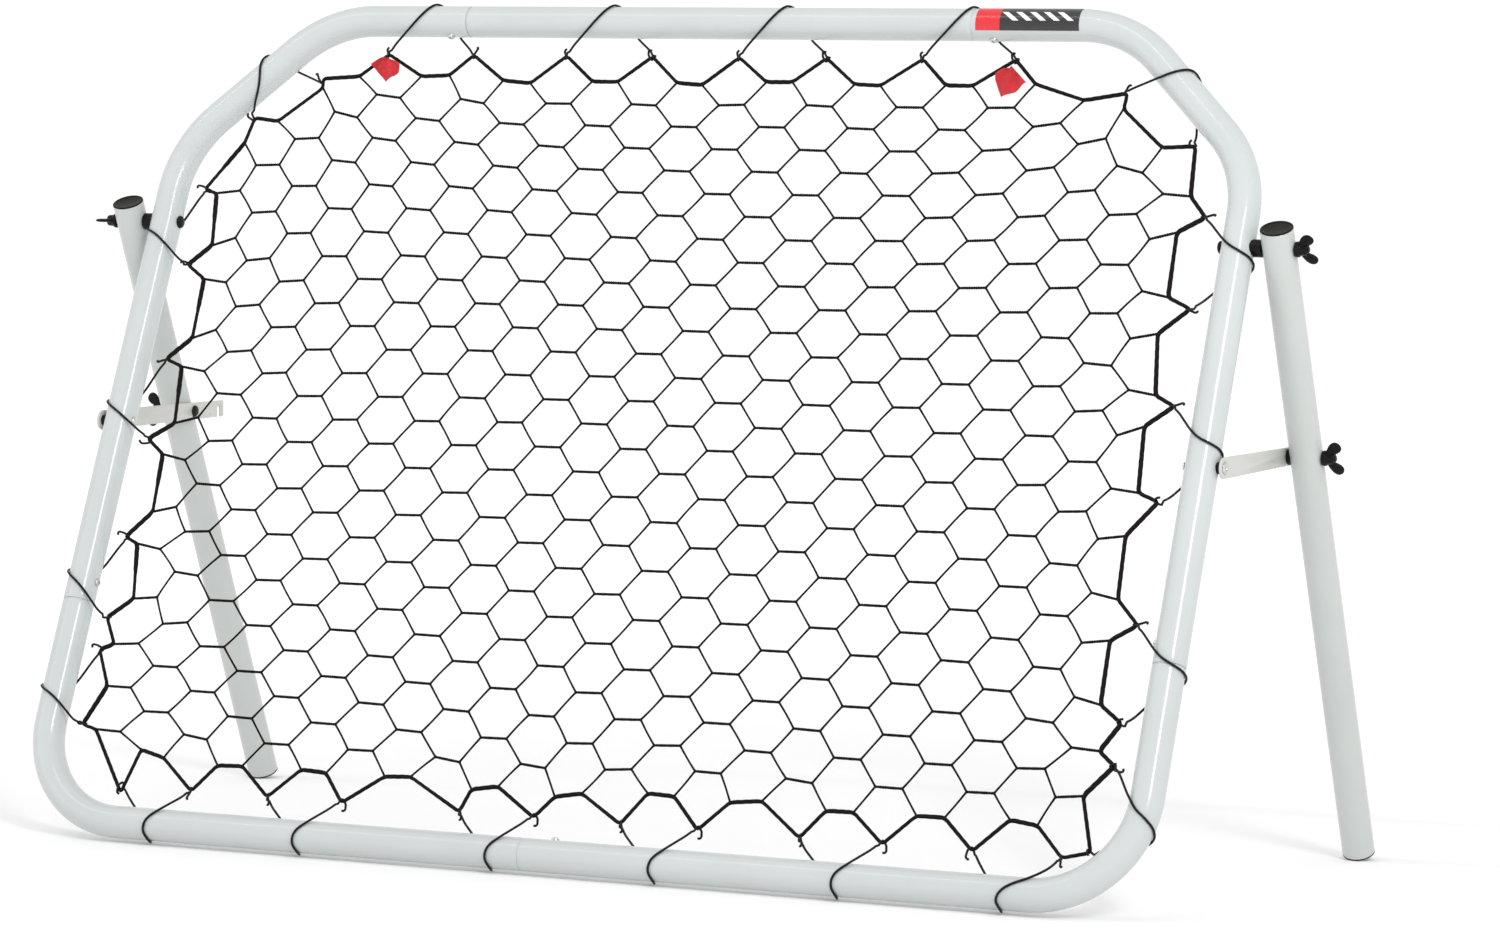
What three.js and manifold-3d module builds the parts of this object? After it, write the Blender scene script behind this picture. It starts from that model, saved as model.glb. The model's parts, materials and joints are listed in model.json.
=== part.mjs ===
// Ball rebounder for a garden or training ground: a leaning rectangular frame of round steel
// tube with a hexagonal net laced into it, propped up by two folding rear legs.
// Millimetres, +Z up, +X along the frame's width, legs behind at +Y.
import * as THREE from 'three';
import { mergeVertices } from 'three/addons/utils/BufferGeometryUtils.js';
import Module from 'manifold-3d';

const wasm = await Module();
wasm.setup();

// ---------------------------------------------------------------- driving dimensions
const TUBE_R = 16;                 // all round tube is 32 mm outside
const TUBE_WALL = 1.4;
const FRAME_W = 1168;              // between the axes of the side tubes
const FRAME_H = 868;               // between the axes of the top and bottom tubes
const CHAMFER = 145;               // the upper corners are cut at 45 degrees by this much
const CHAMFER_BEND = 120;          // bend radii of the tube's axis
const CORNER_BEND = 100;
const LEAN = THREE.MathUtils.degToRad(23.1);        // frame leans back from upright
const LEG_ANGLE = THREE.MathUtils.degToRad(25.2);   // leg slants back from upright
const PIVOT_UP = 640;              // leg pivot, measured up the frame from the bottom axis
const RIVET_UP = 420;              // strap rivet, measured the same way
const LEG_X = FRAME_W / 2 + 41;    // leg axis, outside the side tube
const LEG_OVER = 22;               // leg stands this far past its pivot, cap included
const LOCK_DOWN = 221;             // strap lock on the leg, below its pivot
const SEAM_TOP = 278;              // tube joints: top bar, sides and bottom bar
const SEAM_SIDE = 225;
const SEAM_BOTTOM = -31;
const SWAGE_R = 13.9;              // reduced male end inside the next tube
const SWAGE_LENGTH = 45;
const GAP = 0.3;                   // clearance between touching pieces
const BOLT_R = 3;
const HOLE_R = 3.4;
const STRAP_IN = 604;              // strap's inner face, clear of the clips, and its thickness
const STRAP_T = 2.2;
const STRAP_FRONT_R = 10;
const STRAP_REAR_H = 17;
const STRAP_LENGTH = 240;          // from the rivet to the rear end
const NOTCH_STEP = 50;             // from the notch in use to the spare one
const ROPE_R = 3;                  // border rope of the net
const APEX = 37;                   // rope's corners lie this far inside the tube's axis
const DIP = 64;                    // and it dips to here between them
const NET_EDGE = 70;               // outline of the net's field, inside the rope
const NET_T = 3;
const CLIP_R = 1.5;                // wire of the clips that hold the net
const CLIP_GAP = 0.6;
const CAP_EDGE = 0.5;              // chamfer of the leg caps
const CAP_T = 1.2;                 // their flange
const CAP_PLUG = 13;               // and how deep they reach, from the outer face
const SIDES = 16;

const HALF_W = FRAME_W / 2;
const TUBE_BORE = TUBE_R - TUBE_WALL;

// ---------------------------------------------------------------- materials
const paint = (color) => new THREE.MeshStandardMaterial({ color, roughness: 0.35, metalness: 0.1 });
const framePaint = paint('#dde1e3');
const legPaint = paint('#d6dad6');
const strapPaint = paint('#e2e4e0');
const steel = new THREE.MeshStandardMaterial({ color: '#b9bcbd', roughness: 0.3, metalness: 1 });
const blackPlastic = new THREE.MeshStandardMaterial({ color: '#242424', roughness: 0.5 });
const capPlastic = new THREE.MeshStandardMaterial({ color: '#332f29', roughness: 0.55 });
const blackWire = new THREE.MeshStandardMaterial({ color: '#1f2123', roughness: 0.4 });
const blackCord = new THREE.MeshStandardMaterial({ color: '#221e1c', roughness: 0.9 });
const redCloth = new THREE.MeshStandardMaterial({ color: '#d5303a', roughness: 0.85 });
const labelFilm = new THREE.MeshStandardMaterial({ color: '#1b1b1d', roughness: 0.4 });

// ---------------------------------------------------------------- solids
function toSolid(geometry, placing = new THREE.Matrix4()) {
  const bare = geometry.clone().applyMatrix4(placing);
  bare.deleteAttribute('normal');
  bare.deleteAttribute('uv');
  const merged = mergeVertices(bare, 1e-4);
  return new wasm.Manifold(new wasm.Mesh({
    numProp: 3,
    vertProperties: new Float32Array(merged.attributes.position.array),
    triVerts: new Uint32Array(merged.index.array),
  }));
}

function toGeometry(solid) {
  const mesh = solid.getMesh();
  const geometry = new THREE.BufferGeometry();
  geometry.setAttribute('position', new THREE.BufferAttribute(mesh.vertProperties, 3));
  geometry.setIndex(new THREE.BufferAttribute(mesh.triVerts, 1));
  geometry.computeVertexNormals();
  return geometry;
}

function piece(name, geometry, material, parent) {
  const mesh = new THREE.Mesh(geometry, material);
  mesh.name = name;
  parent.add(mesh);
  return mesh;
}

// A curve that passes through given points, one straight step after another.
class StraightSteps extends THREE.Curve {
  constructor(points) {
    super();
    this.points = points;
  }
  getPoint(t, target = new THREE.Vector3()) {
    const at = t * (this.points.length - 1);
    const i = Math.min(Math.floor(at + 1e-9), this.points.length - 2);
    return target.lerpVectors(this.points[i], this.points[i + 1], at - i);
  }
  getPointAt(u, target) {
    return this.getPoint(u, target);
  }
  getTangentAt(u, target = new THREE.Vector3()) {
    const i = Math.round(u * (this.points.length - 1));
    const before = this.points[Math.max(i - 1, 0)];
    const here = this.points[i];
    const after = this.points[Math.min(i + 1, this.points.length - 1)];
    const arriving = here.clone().sub(before).normalize();
    const leaving = after.clone().sub(here).normalize();
    return target.addVectors(arriving, leaving).normalize();
  }
}

function circle(radius, sides, Kind = THREE.Shape) {
  const points = [];
  for (let i = 0; i < sides; i++) {
    const angle = (2 * Math.PI * i) / sides;
    points.push(new THREE.Vector2(radius * Math.cos(angle), radius * Math.sin(angle)));
  }
  return new Kind(points);
}

function alongPath(section, points) {
  return new THREE.ExtrudeGeometry(section, {
    steps: points.length - 1,
    bevelEnabled: false,
    extrudePath: new StraightSteps(points),
  });
}

// A profile of [radius, distance] pairs turned about the X axis.
function turnedAboutX(profile, sides) {
  const points = profile.map(([r, d]) => new THREE.Vector2(r, d));
  return new THREE.LatheGeometry(points, sides).rotateZ(-Math.PI / 2);
}

// A profile of [radius, height] pairs turned about the Z axis.
function turnedAboutZ(profile, sides) {
  const points = profile.map(([r, d]) => new THREE.Vector2(r, d));
  return new THREE.LatheGeometry(points, sides).rotateX(Math.PI / 2);
}

// A rod along X from x0 to x1, through (y, z).
function rodX(radius, x0, x1, y = 0, z = 0, sides = 10) {
  const rod = new THREE.CylinderGeometry(radius, radius, Math.abs(x1 - x0), sides);
  return rod.rotateZ(Math.PI / 2).translate((x0 + x1) / 2, y, z);
}

// ---------------------------------------------------------------- the frame's centre line
// The frame group's own axes: x across, y through (front is negative), z up the slope.
// The centre line runs clockwise, seen from the front, from the middle of the bottom bar.
function centreLine() {
  const corner = Math.PI / 4;
  const cut = CHAMFER_BEND * Math.tan(corner / 2);
  const arcs = [
    { x: -HALF_W + CORNER_BEND, z: CORNER_BEND, r: CORNER_BEND, from: -2 * corner, turn: -2 * corner },
    { x: -HALF_W + CHAMFER_BEND, z: FRAME_H - CHAMFER - cut, r: CHAMFER_BEND, from: -4 * corner, turn: -corner },
    { x: -HALF_W + CHAMFER + cut, z: FRAME_H - CHAMFER_BEND, r: CHAMFER_BEND, from: 3 * corner, turn: -corner },
    { x: HALF_W - CHAMFER - cut, z: FRAME_H - CHAMFER_BEND, r: CHAMFER_BEND, from: 2 * corner, turn: -corner },
    { x: HALF_W - CHAMFER_BEND, z: FRAME_H - CHAMFER - cut, r: CHAMFER_BEND, from: corner, turn: -corner },
    { x: HALF_W - CORNER_BEND, z: CORNER_BEND, r: CORNER_BEND, from: 0, turn: -2 * corner },
  ];
  const stations = [{ x: 0, z: 0, angle: -Math.PI / 2 }];
  for (const arc of arcs) {
    const steps = Math.round(Math.abs(arc.turn) / (corner / 4));
    for (let i = 0; i <= steps; i++) {
      const angle = arc.from + (arc.turn * i) / steps;
      stations.push({ x: arc.x + arc.r * Math.cos(angle), z: arc.z + arc.r * Math.sin(angle), angle });
    }
  }
  stations.push({ x: 0, z: 0, angle: -Math.PI / 2 });
  let run = 0;
  stations.forEach((station, i) => {
    if (i > 0) run += Math.hypot(station.x - stations[i - 1].x, station.z - stations[i - 1].z);
    station.s = run;
  });
  return stations;
}

const line = centreLine();
const LOOP = line[line.length - 1].s;

// Position and inward direction on the centre line at a distance s along it.
function station(s) {
  const at = ((s % LOOP) + LOOP) % LOOP;
  let i = 1;
  while (i < line.length - 1 && line[i].s < at) i++;
  const a = line[i - 1];
  const b = line[i];
  const t = (at - a.s) / (b.s - a.s);
  const turn = Math.atan2(Math.sin(b.angle - a.angle), Math.cos(b.angle - a.angle));
  const angle = a.angle + turn * t;
  return {
    x: a.x + (b.x - a.x) * t,
    z: a.z + (b.z - a.z) * t,
    inX: -Math.cos(angle),
    inZ: -Math.sin(angle),
  };
}

// A point at distance s along the centre line, `inward` from it and `through` the frame.
function besideTube(s, inward, through) {
  const here = station(s);
  return new THREE.Vector3(here.x + here.inX * inward, through, here.z + here.inZ * inward);
}

// The distance along the centre line that lies nearest to (x, z).
function nearest(x, z) {
  let best = { s: 0, far: Infinity };
  for (let i = 1; i < line.length; i++) {
    const a = line[i - 1];
    const b = line[i];
    const length = b.s - a.s;
    const ux = (b.x - a.x) / length;
    const uz = (b.z - a.z) / length;
    const along = THREE.MathUtils.clamp((x - a.x) * ux + (z - a.z) * uz, 0, length);
    const far = Math.hypot(a.x + ux * along - x, a.z + uz * along - z);
    if (far < best.far) best = { s: a.s + along, far };
  }
  return best.s;
}

// ---------------------------------------------------------------- frame tubes
const frame = new THREE.Group();
frame.rotation.x = -LEAN;

// Screws join the tubes, on the side that faces into the frame.
const SCREW_HEAD_R = 4;
const SCREW_R = 2;
const SCREW_HOLE_R = 2.5;
const SCREW_SETBACK = 21;          // from the end of the outer tube
const SCREW_LENGTH = 7;
const seams = {
  left: { s: nearest(-HALF_W, SEAM_SIDE), female: 1 },
  top_left: { s: nearest(-SEAM_TOP, FRAME_H), female: -1 },
  top_right: { s: nearest(SEAM_TOP, FRAME_H), female: 1 },
  right: { s: nearest(HALF_W, SEAM_SIDE), female: -1 },
  bottom: { s: nearest(SEAM_BOTTOM, 0), female: -1 },
};

// Turns a solid that points along +Z so that it points into the frame at s, from the tube's axis.
function pointingIn(s) {
  const here = station(s);
  return new THREE.Matrix4()
    .makeTranslation(here.x, 0, here.z)
    .multiply(new THREE.Matrix4().makeRotationY(Math.atan2(here.inX, here.inZ)));
}

function screwStation(seam) {
  return seam.s + seam.female * (seam === seams.bottom ? SCREW_SETBACK + 9 : SCREW_SETBACK);
}

function swage(s, direction) {
  const profile = [
    [13.0, -10], [15.3, -10], [15.3, -3], [SWAGE_R, 1], [SWAGE_R, SWAGE_LENGTH],
    [12.6, SWAGE_LENGTH], [12.6, 0], [13.0, -10],
  ];
  const here = station(s);
  const tangent = new THREE.Vector3(-here.inZ, 0, here.inX).multiplyScalar(direction);
  const turn = new THREE.Matrix4().makeRotationFromQuaternion(
    new THREE.Quaternion().setFromUnitVectors(new THREE.Vector3(0, 0, 1), tangent));
  const place = new THREE.Matrix4().makeTranslation(here.x, 0, here.z).multiply(turn);
  return toSolid(turnedAboutZ(profile, SIDES), place);
}

// A tube from s0 to s1; `male` says which of its ends are reduced to enter the next tube.
function frameTube(name, s0, s1, male) {
  const end = s1 < s0 ? s1 + LOOP : s1;
  const from = s0 + GAP / 2;
  const to = end - GAP / 2;
  const points = [besideTube(from, 0, 0)];
  for (const lap of [0, LOOP]) {
    for (const corner of line) {
      const s = corner.s + lap;
      const onStraightJoin = corner === line[0] || corner === line[line.length - 1];
      if (s > from + 1 && s < to - 1 && !onStraightJoin) points.push(besideTube(s, 0, 0));
    }
  }
  points.push(besideTube(to, 0, 0));
  const section = circle(TUBE_R, SIDES);
  section.holes.push(circle(TUBE_BORE, SIDES, THREE.Path));
  let solid = toSolid(alongPath(section, points));
  if (male.includes('start')) solid = solid.add(swage(from, -1));
  if (male.includes('end')) solid = solid.add(swage(to, 1));
  for (const seam of Object.values(seams)) {
    const hole = new THREE.CylinderGeometry(SCREW_HOLE_R, SCREW_HOLE_R, 2 * TUBE_R, 8)
      .rotateX(Math.PI / 2).translate(0, 0, TUBE_R);
    solid = solid.subtract(toSolid(hole, pointingIn(screwStation(seam))));
  }
  for (const up of [PIVOT_UP, RIVET_UP]) {
    solid = solid.subtract(toSolid(rodX(HOLE_R, -FRAME_W, FRAME_W, 0, up)));
  }
  piece(name, toGeometry(solid), framePaint, frame);
}

frameTube('lower_left_tube', seams.bottom.s - LOOP, seams.left.s, ['start', 'end']);
frameTube('upper_left_tube', seams.left.s, seams.top_left.s, []);
frameTube('top_tube', seams.top_left.s, seams.top_right.s, ['start', 'end']);
frameTube('upper_right_tube', seams.top_right.s, seams.right.s, []);
frameTube('lower_right_tube', seams.right.s, seams.bottom.s, ['start']);

for (const [where, seam] of Object.entries(seams)) {
  const top = TUBE_R + GAP;
  const profile = [
    [0, top - SCREW_LENGTH], [SCREW_R, top - SCREW_LENGTH], [SCREW_R, top], [SCREW_HEAD_R, top],
    [SCREW_HEAD_R, top + 1.4], [2.6, top + 2.6], [0, top + 2.6],
  ];
  const geometry = turnedAboutZ(profile, 8).applyMatrix4(pointingIn(screwStation(seam)));
  piece(`${where}_seam_screw`, geometry, steel, frame);
}

// ---------------------------------------------------------------- wire clips and border rope
// Each clip catches the rope at one corner, crosses the front of the tube, goes round its outer
// side and comes back behind it to catch the rope's next corner.
const TOP_APEX = FRAME_H - APEX;
const SIDE_APEX = HALF_W - APEX;
// One that would meet a fastener has reached another share of its way than half when it is
// on the outer side.
const clipPlaces = [
  { from: [-29, APEX], to: [-109, APEX] },
  { from: [-238, APEX], to: [-321, APEX] },
  { from: [-407, APEX], to: [-486, APEX] },
  { from: [-SIDE_APEX, 97], to: [-SIDE_APEX, 176] },
  { from: [-SIDE_APEX, 210], to: [-SIDE_APEX, 296] },
  { from: [-SIDE_APEX, 402], to: [-SIDE_APEX, 489] },
  { from: [-SIDE_APEX, 593], to: [-SIDE_APEX, 677], outerShare: 0.34 },
  { from: [-503, 763], to: [-442, 800] },
  { from: [-366, TOP_APEX], to: [-268, TOP_APEX] },
  { from: [-162, TOP_APEX], to: [-66, TOP_APEX] },
  { from: [30, TOP_APEX], to: [125, TOP_APEX] },
  { from: [228, TOP_APEX], to: [326, TOP_APEX] },
  { from: [450, 793], to: [522, 744] },
  { from: [SIDE_APEX, 670], to: [SIDE_APEX, 577] },
  { from: [SIDE_APEX, 479], to: [SIDE_APEX, 384], outerShare: 0.42 },
  { from: [SIDE_APEX, 263], to: [SIDE_APEX, 168] },
  { from: [SIDE_APEX, 127], to: [SIDE_APEX, 50] },
  { from: [511, APEX], to: [423, APEX] },
  { from: [333, APEX], to: [249, APEX] },
  { from: [144, APEX], to: [63, APEX] },
];

const WRAP_STEPS = 9;
function clipPoints(s0, s1, outerShare = 0.5) {
  const wrapR = TUBE_R + CLIP_GAP + CLIP_R;
  const curlR = ROPE_R + GAP + CLIP_R;
  const tangent = Math.acos((wrapR - curlR) / APEX);
  const flat = [];                 // [inward, through] of the wire, front end first
  const curlTurn = tangent + THREE.MathUtils.degToRad(75);
  for (let i = 0; i <= 3; i++) {
    const angle = tangent - curlTurn + (curlTurn * i) / 3;
    flat.push([APEX + curlR * Math.cos(angle), -curlR * Math.sin(angle)]);
  }
  const wrapStep = (2 * Math.PI - 2 * tangent) / WRAP_STEPS;
  const outer = wrapR / Math.cos(wrapStep / 2);
  for (let i = 0; i <= WRAP_STEPS; i++) {
    const angle = tangent + wrapStep * i;
    flat.push([outer * Math.cos(angle), -outer * Math.sin(angle)]);
  }
  for (let i = 3; i >= 0; i--) {
    const angle = tangent - curlTurn + (curlTurn * i) / 3;
    flat.push([APEX + curlR * Math.cos(angle), curlR * Math.sin(angle)]);
  }
  const runs = [0];
  for (let i = 1; i < flat.length; i++) {
    runs.push(runs[i - 1] + Math.hypot(flat[i][0] - flat[i - 1][0], flat[i][1] - flat[i - 1][1]));
  }
  const start = runs[3];
  const end = runs[runs.length - 4];
  return flat.map(([inward, through], i) => {
    const t = THREE.MathUtils.clamp((runs[i] - start) / (end - start), 0, 1);
    const share = t < 0.5 ? 2 * t * outerShare : outerShare + (2 * t - 1) * (1 - outerShare);
    return besideTube(s0 + (s1 - s0) * share, inward, through);
  });
}

const apexes = [];
clipPlaces.forEach(({ from, to, outerShare }, i) => {
  const s0 = nearest(...from);
  const s1 = nearest(...to);
  apexes.push(s0, s1 < s0 ? s1 + LOOP : s1);
  const number = String(i + 1).padStart(2, '0');
  const wire = alongPath(circle(CLIP_R, 5), clipPoints(s0, apexes.at(-1), outerShare));
  piece(`net_clip_${number}`, wire, blackWire, frame);
});

const ROPE_FLAT = 6;               // straight length of rope either side of a clip
const ropePoints = [];
apexes.sort((a, b) => a - b);
apexes.forEach((s, i) => {
  const next = i + 1 < apexes.length ? apexes[i + 1] : apexes[0] + LOOP;
  ropePoints.push(besideTube(s - ROPE_FLAT, APEX, 0), besideTube(s + ROPE_FLAT, APEX, 0));
  const span = next - s - 2 * ROPE_FLAT;
  const last = i + 1 === apexes.length;
  ropePoints.push(besideTube(s + ROPE_FLAT + span * 0.28, DIP, 0));
  if (!last) ropePoints.push(besideTube(s + ROPE_FLAT + span * 0.72, DIP, 0));
});
piece('border_rope', alongPath(circle(ROPE_R, 6), ropePoints), blackCord, frame);

// The net itself, as one thin field inside the rope.
const netOutline = line.slice(0, -1).map((corner) => {
  const here = besideTube(corner.s, NET_EDGE, 0);
  return new THREE.Vector2(here.x, here.z);
});
const netField = new THREE.ExtrudeGeometry(new THREE.Shape(netOutline), { depth: NET_T, bevelEnabled: false });
piece('net', netField.rotateX(Math.PI / 2).translate(0, NET_T / 2, 0), blackCord, frame);

// ---------------------------------------------------------------- label and cloth tags
const LABEL_START = 283;
const LABEL_LENGTH = 108;
const LABEL_T = 0.4;
const labelArc = new THREE.Shape();
const labelFrom = THREE.MathUtils.degToRad(118);
const labelTo = THREE.MathUtils.degToRad(223);
labelArc.absarc(0, 0, TUBE_R + GAP + LABEL_T, labelFrom, labelTo, false);
labelArc.absarc(0, 0, TUBE_R + GAP, labelTo, labelFrom, true);
const labelGeometry = new THREE.ExtrudeGeometry(labelArc, {
  depth: LABEL_LENGTH, bevelEnabled: false, curveSegments: 8,
});
// The arc's plane is turned to stand across the top bar.
labelGeometry.applyMatrix4(new THREE.Matrix4().makeBasis(
  new THREE.Vector3(0, 1, 0), new THREE.Vector3(0, 0, 1), new THREE.Vector3(1, 0, 0)));
piece('label_band', labelGeometry.translate(LABEL_START, 0, FRAME_H), labelFilm, frame);

const TAG_SIDE = 21;
const TAG_T = 1.2;
for (const [name, x] of [['left_tag', -366], ['right_tag', 326]]) {
  const tag = new THREE.BoxGeometry(TAG_SIDE, TAG_T, TAG_SIDE).rotateY(Math.PI / 4);
  const hang = TOP_APEX - 8 - TAG_SIDE * Math.SQRT1_2;
  piece(name, tag.translate(x, -ROPE_R - 1, hang), redCloth, frame);
}

// ---------------------------------------------------------------- legs, straps and fasteners
// The bottom tube stands on the clips that go under it.
frame.updateMatrixWorld(true);
const AXIS_UP = -new THREE.Box3().setFromObject(frame, true).min.z;
frame.position.z = AXIS_UP;
const PIVOT = new THREE.Vector3(0, PIVOT_UP * Math.sin(LEAN), AXIS_UP + PIVOT_UP * Math.cos(LEAN));
const RIVET = new THREE.Vector3(0, RIVET_UP * Math.sin(LEAN), AXIS_UP + RIVET_UP * Math.cos(LEAN));
const FOOT_DOWN = (PIVOT.z - (TUBE_R - CAP_EDGE) * Math.sin(LEG_ANGLE)) / Math.cos(LEG_ANGLE);
const LOCK = new THREE.Vector3(
  0, PIVOT.y + LOCK_DOWN * Math.sin(LEG_ANGLE), PIVOT.z - LOCK_DOWN * Math.cos(LEG_ANGLE));
const STRAP_RISE = Math.atan2(LOCK.z - RIVET.z, LOCK.y - RIVET.y);
const LOCK_REACH = Math.hypot(LOCK.z - RIVET.z, LOCK.y - RIVET.y);
const FRAME_IN = HALF_W - TUBE_R - GAP;
const FRAME_OUT = HALF_W + TUBE_R + GAP;
const LEG_IN = LEG_X - TUBE_R;
const LEG_OUT = LEG_X + TUBE_R + GAP;
const STRAP_OUT = STRAP_IN + STRAP_T;
const SPACER_R = 8.5;
const COLLAR_R = 8;
const STRAP_WASHER_R = 6.5;
const WING_NUT_LENGTH = 12;
// How far each wing nut's wings are turned forward from upright, in degrees.
const WING_TURNS = { left: { pivot: 90, lock: 0 }, right: { pivot: 40, lock: 28 } };

function legTube() {
  const bottom = -FOOT_DOWN + CAP_T + GAP;
  const top = LEG_OVER - CAP_T - GAP;
  const section = circle(TUBE_R, SIDES);
  section.holes.push(circle(TUBE_BORE, SIDES, THREE.Path));
  const tube = new THREE.ExtrudeGeometry(section, { depth: top - bottom, bevelEnabled: false });
  let solid = toSolid(tube.translate(0, 0, bottom));
  for (const down of [0, LOCK_DOWN]) {
    solid = solid.subtract(toSolid(rodX(HOLE_R, -2 * TUBE_R, 2 * TUBE_R, 0, -down)));
  }
  return toGeometry(solid);
}

// End cap of a leg, its flange's outer face at height 0, the plug reaching down into the tube.
function legCap(dish) {
  return turnedAboutZ([
    [0, -CAP_PLUG], [TUBE_BORE - 2 * GAP, -CAP_PLUG], [TUBE_BORE - 2 * GAP, -CAP_T],
    [TUBE_R, -CAP_T], [TUBE_R, -CAP_EDGE],
    [TUBE_R - CAP_EDGE, 0], [TUBE_R - 4, 0], [TUBE_R - 5, -dish], [0, -dish],
  ], SIDES);
}

// A short sleeve from x0 to x1 whose ends are hollowed to sit on a round tube where asked.
function saddleSleeve(radius, x0, x1, tubeX, tubeSlope) {
  const tube = new THREE.CylinderGeometry(TUBE_R + GAP, TUBE_R + GAP, 60, 24)
    .rotateX(Math.PI / 2).rotateX(tubeSlope).translate(tubeX, 0, 0);
  const solid = toSolid(rodX(radius, x0, x1, 0, 0, 20)).subtract(toSolid(tube));
  return solid.subtract(toSolid(rodX(HOLE_R, x0 - 20, x1 + 20)));
}

// Wing nut on a screw along X, its base at x = 0 and two rounded wings spreading outwards.
function wingNut() {
  const hub = toSolid(turnedAboutX(
    [[0, 0], [7.5, 0], [7.5, 4], [5.6, WING_NUT_LENGTH], [0, WING_NUT_LENGTH]], 12));
  const wing = new THREE.Shape();
  wing.moveTo(3, 3);
  wing.lineTo(8, 6);
  wing.absarc(16, 14, 5.6, -Math.PI / 2 - 0.2, Math.PI * 0.86, false);
  wing.lineTo(6.5, 13);
  wing.lineTo(3, 10);
  const plate = new THREE.ExtrudeGeometry(wing, { depth: 4.4, bevelEnabled: false, curveSegments: 6 })
    .translate(0, 0, -2.2);
  const upper = new THREE.Matrix4().makeBasis(
    new THREE.Vector3(0, 0, 1), new THREE.Vector3(1, 0, 0), new THREE.Vector3(0, 1, 0));
  const lower = new THREE.Matrix4().makeRotationX(Math.PI).multiply(upper);
  const bore = toSolid(rodX(HOLE_R, -1, WING_NUT_LENGTH + 1));
  return toGeometry(hub.add(toSolid(plate, upper)).add(toSolid(plate, lower)).subtract(bore));
}

// The flat strap, lying along +Y from its rivet, with notches open at its lower edge.
function strapPlate() {
  const outline = new THREE.Shape();
  const rearTop = STRAP_REAR_H / 2;
  outline.absarc(0, 0, STRAP_FRONT_R, Math.PI / 2, 1.5 * Math.PI, false);
  for (const y of [LOCK_REACH, LOCK_REACH + NOTCH_STEP]) {
    const edge = -THREE.MathUtils.mapLinear(y, 0, STRAP_LENGTH, STRAP_FRONT_R, rearTop);
    outline.lineTo(y - HOLE_R, edge);
    outline.absarc(y, 0, HOLE_R, Math.PI, 0, true);
    outline.lineTo(y + HOLE_R, edge);
  }
  outline.lineTo(STRAP_LENGTH, -rearTop);
  outline.lineTo(STRAP_LENGTH, rearTop);
  outline.holes.push(circle(HOLE_R, 10, THREE.Path));
  const plate = new THREE.ExtrudeGeometry(outline, { depth: STRAP_T, bevelEnabled: false, curveSegments: 7 });
  return plate.applyMatrix4(new THREE.Matrix4().makeBasis(
    new THREE.Vector3(0, 1, 0), new THREE.Vector3(0, 0, 1), new THREE.Vector3(1, 0, 0)));
}

const boltHead = [[0, -4], [3.5, -3.6], [5.6, -2.2], [6.5, 0], [BOLT_R, 0]];

const rebounder = new THREE.Group();
rebounder.add(frame);

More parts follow.
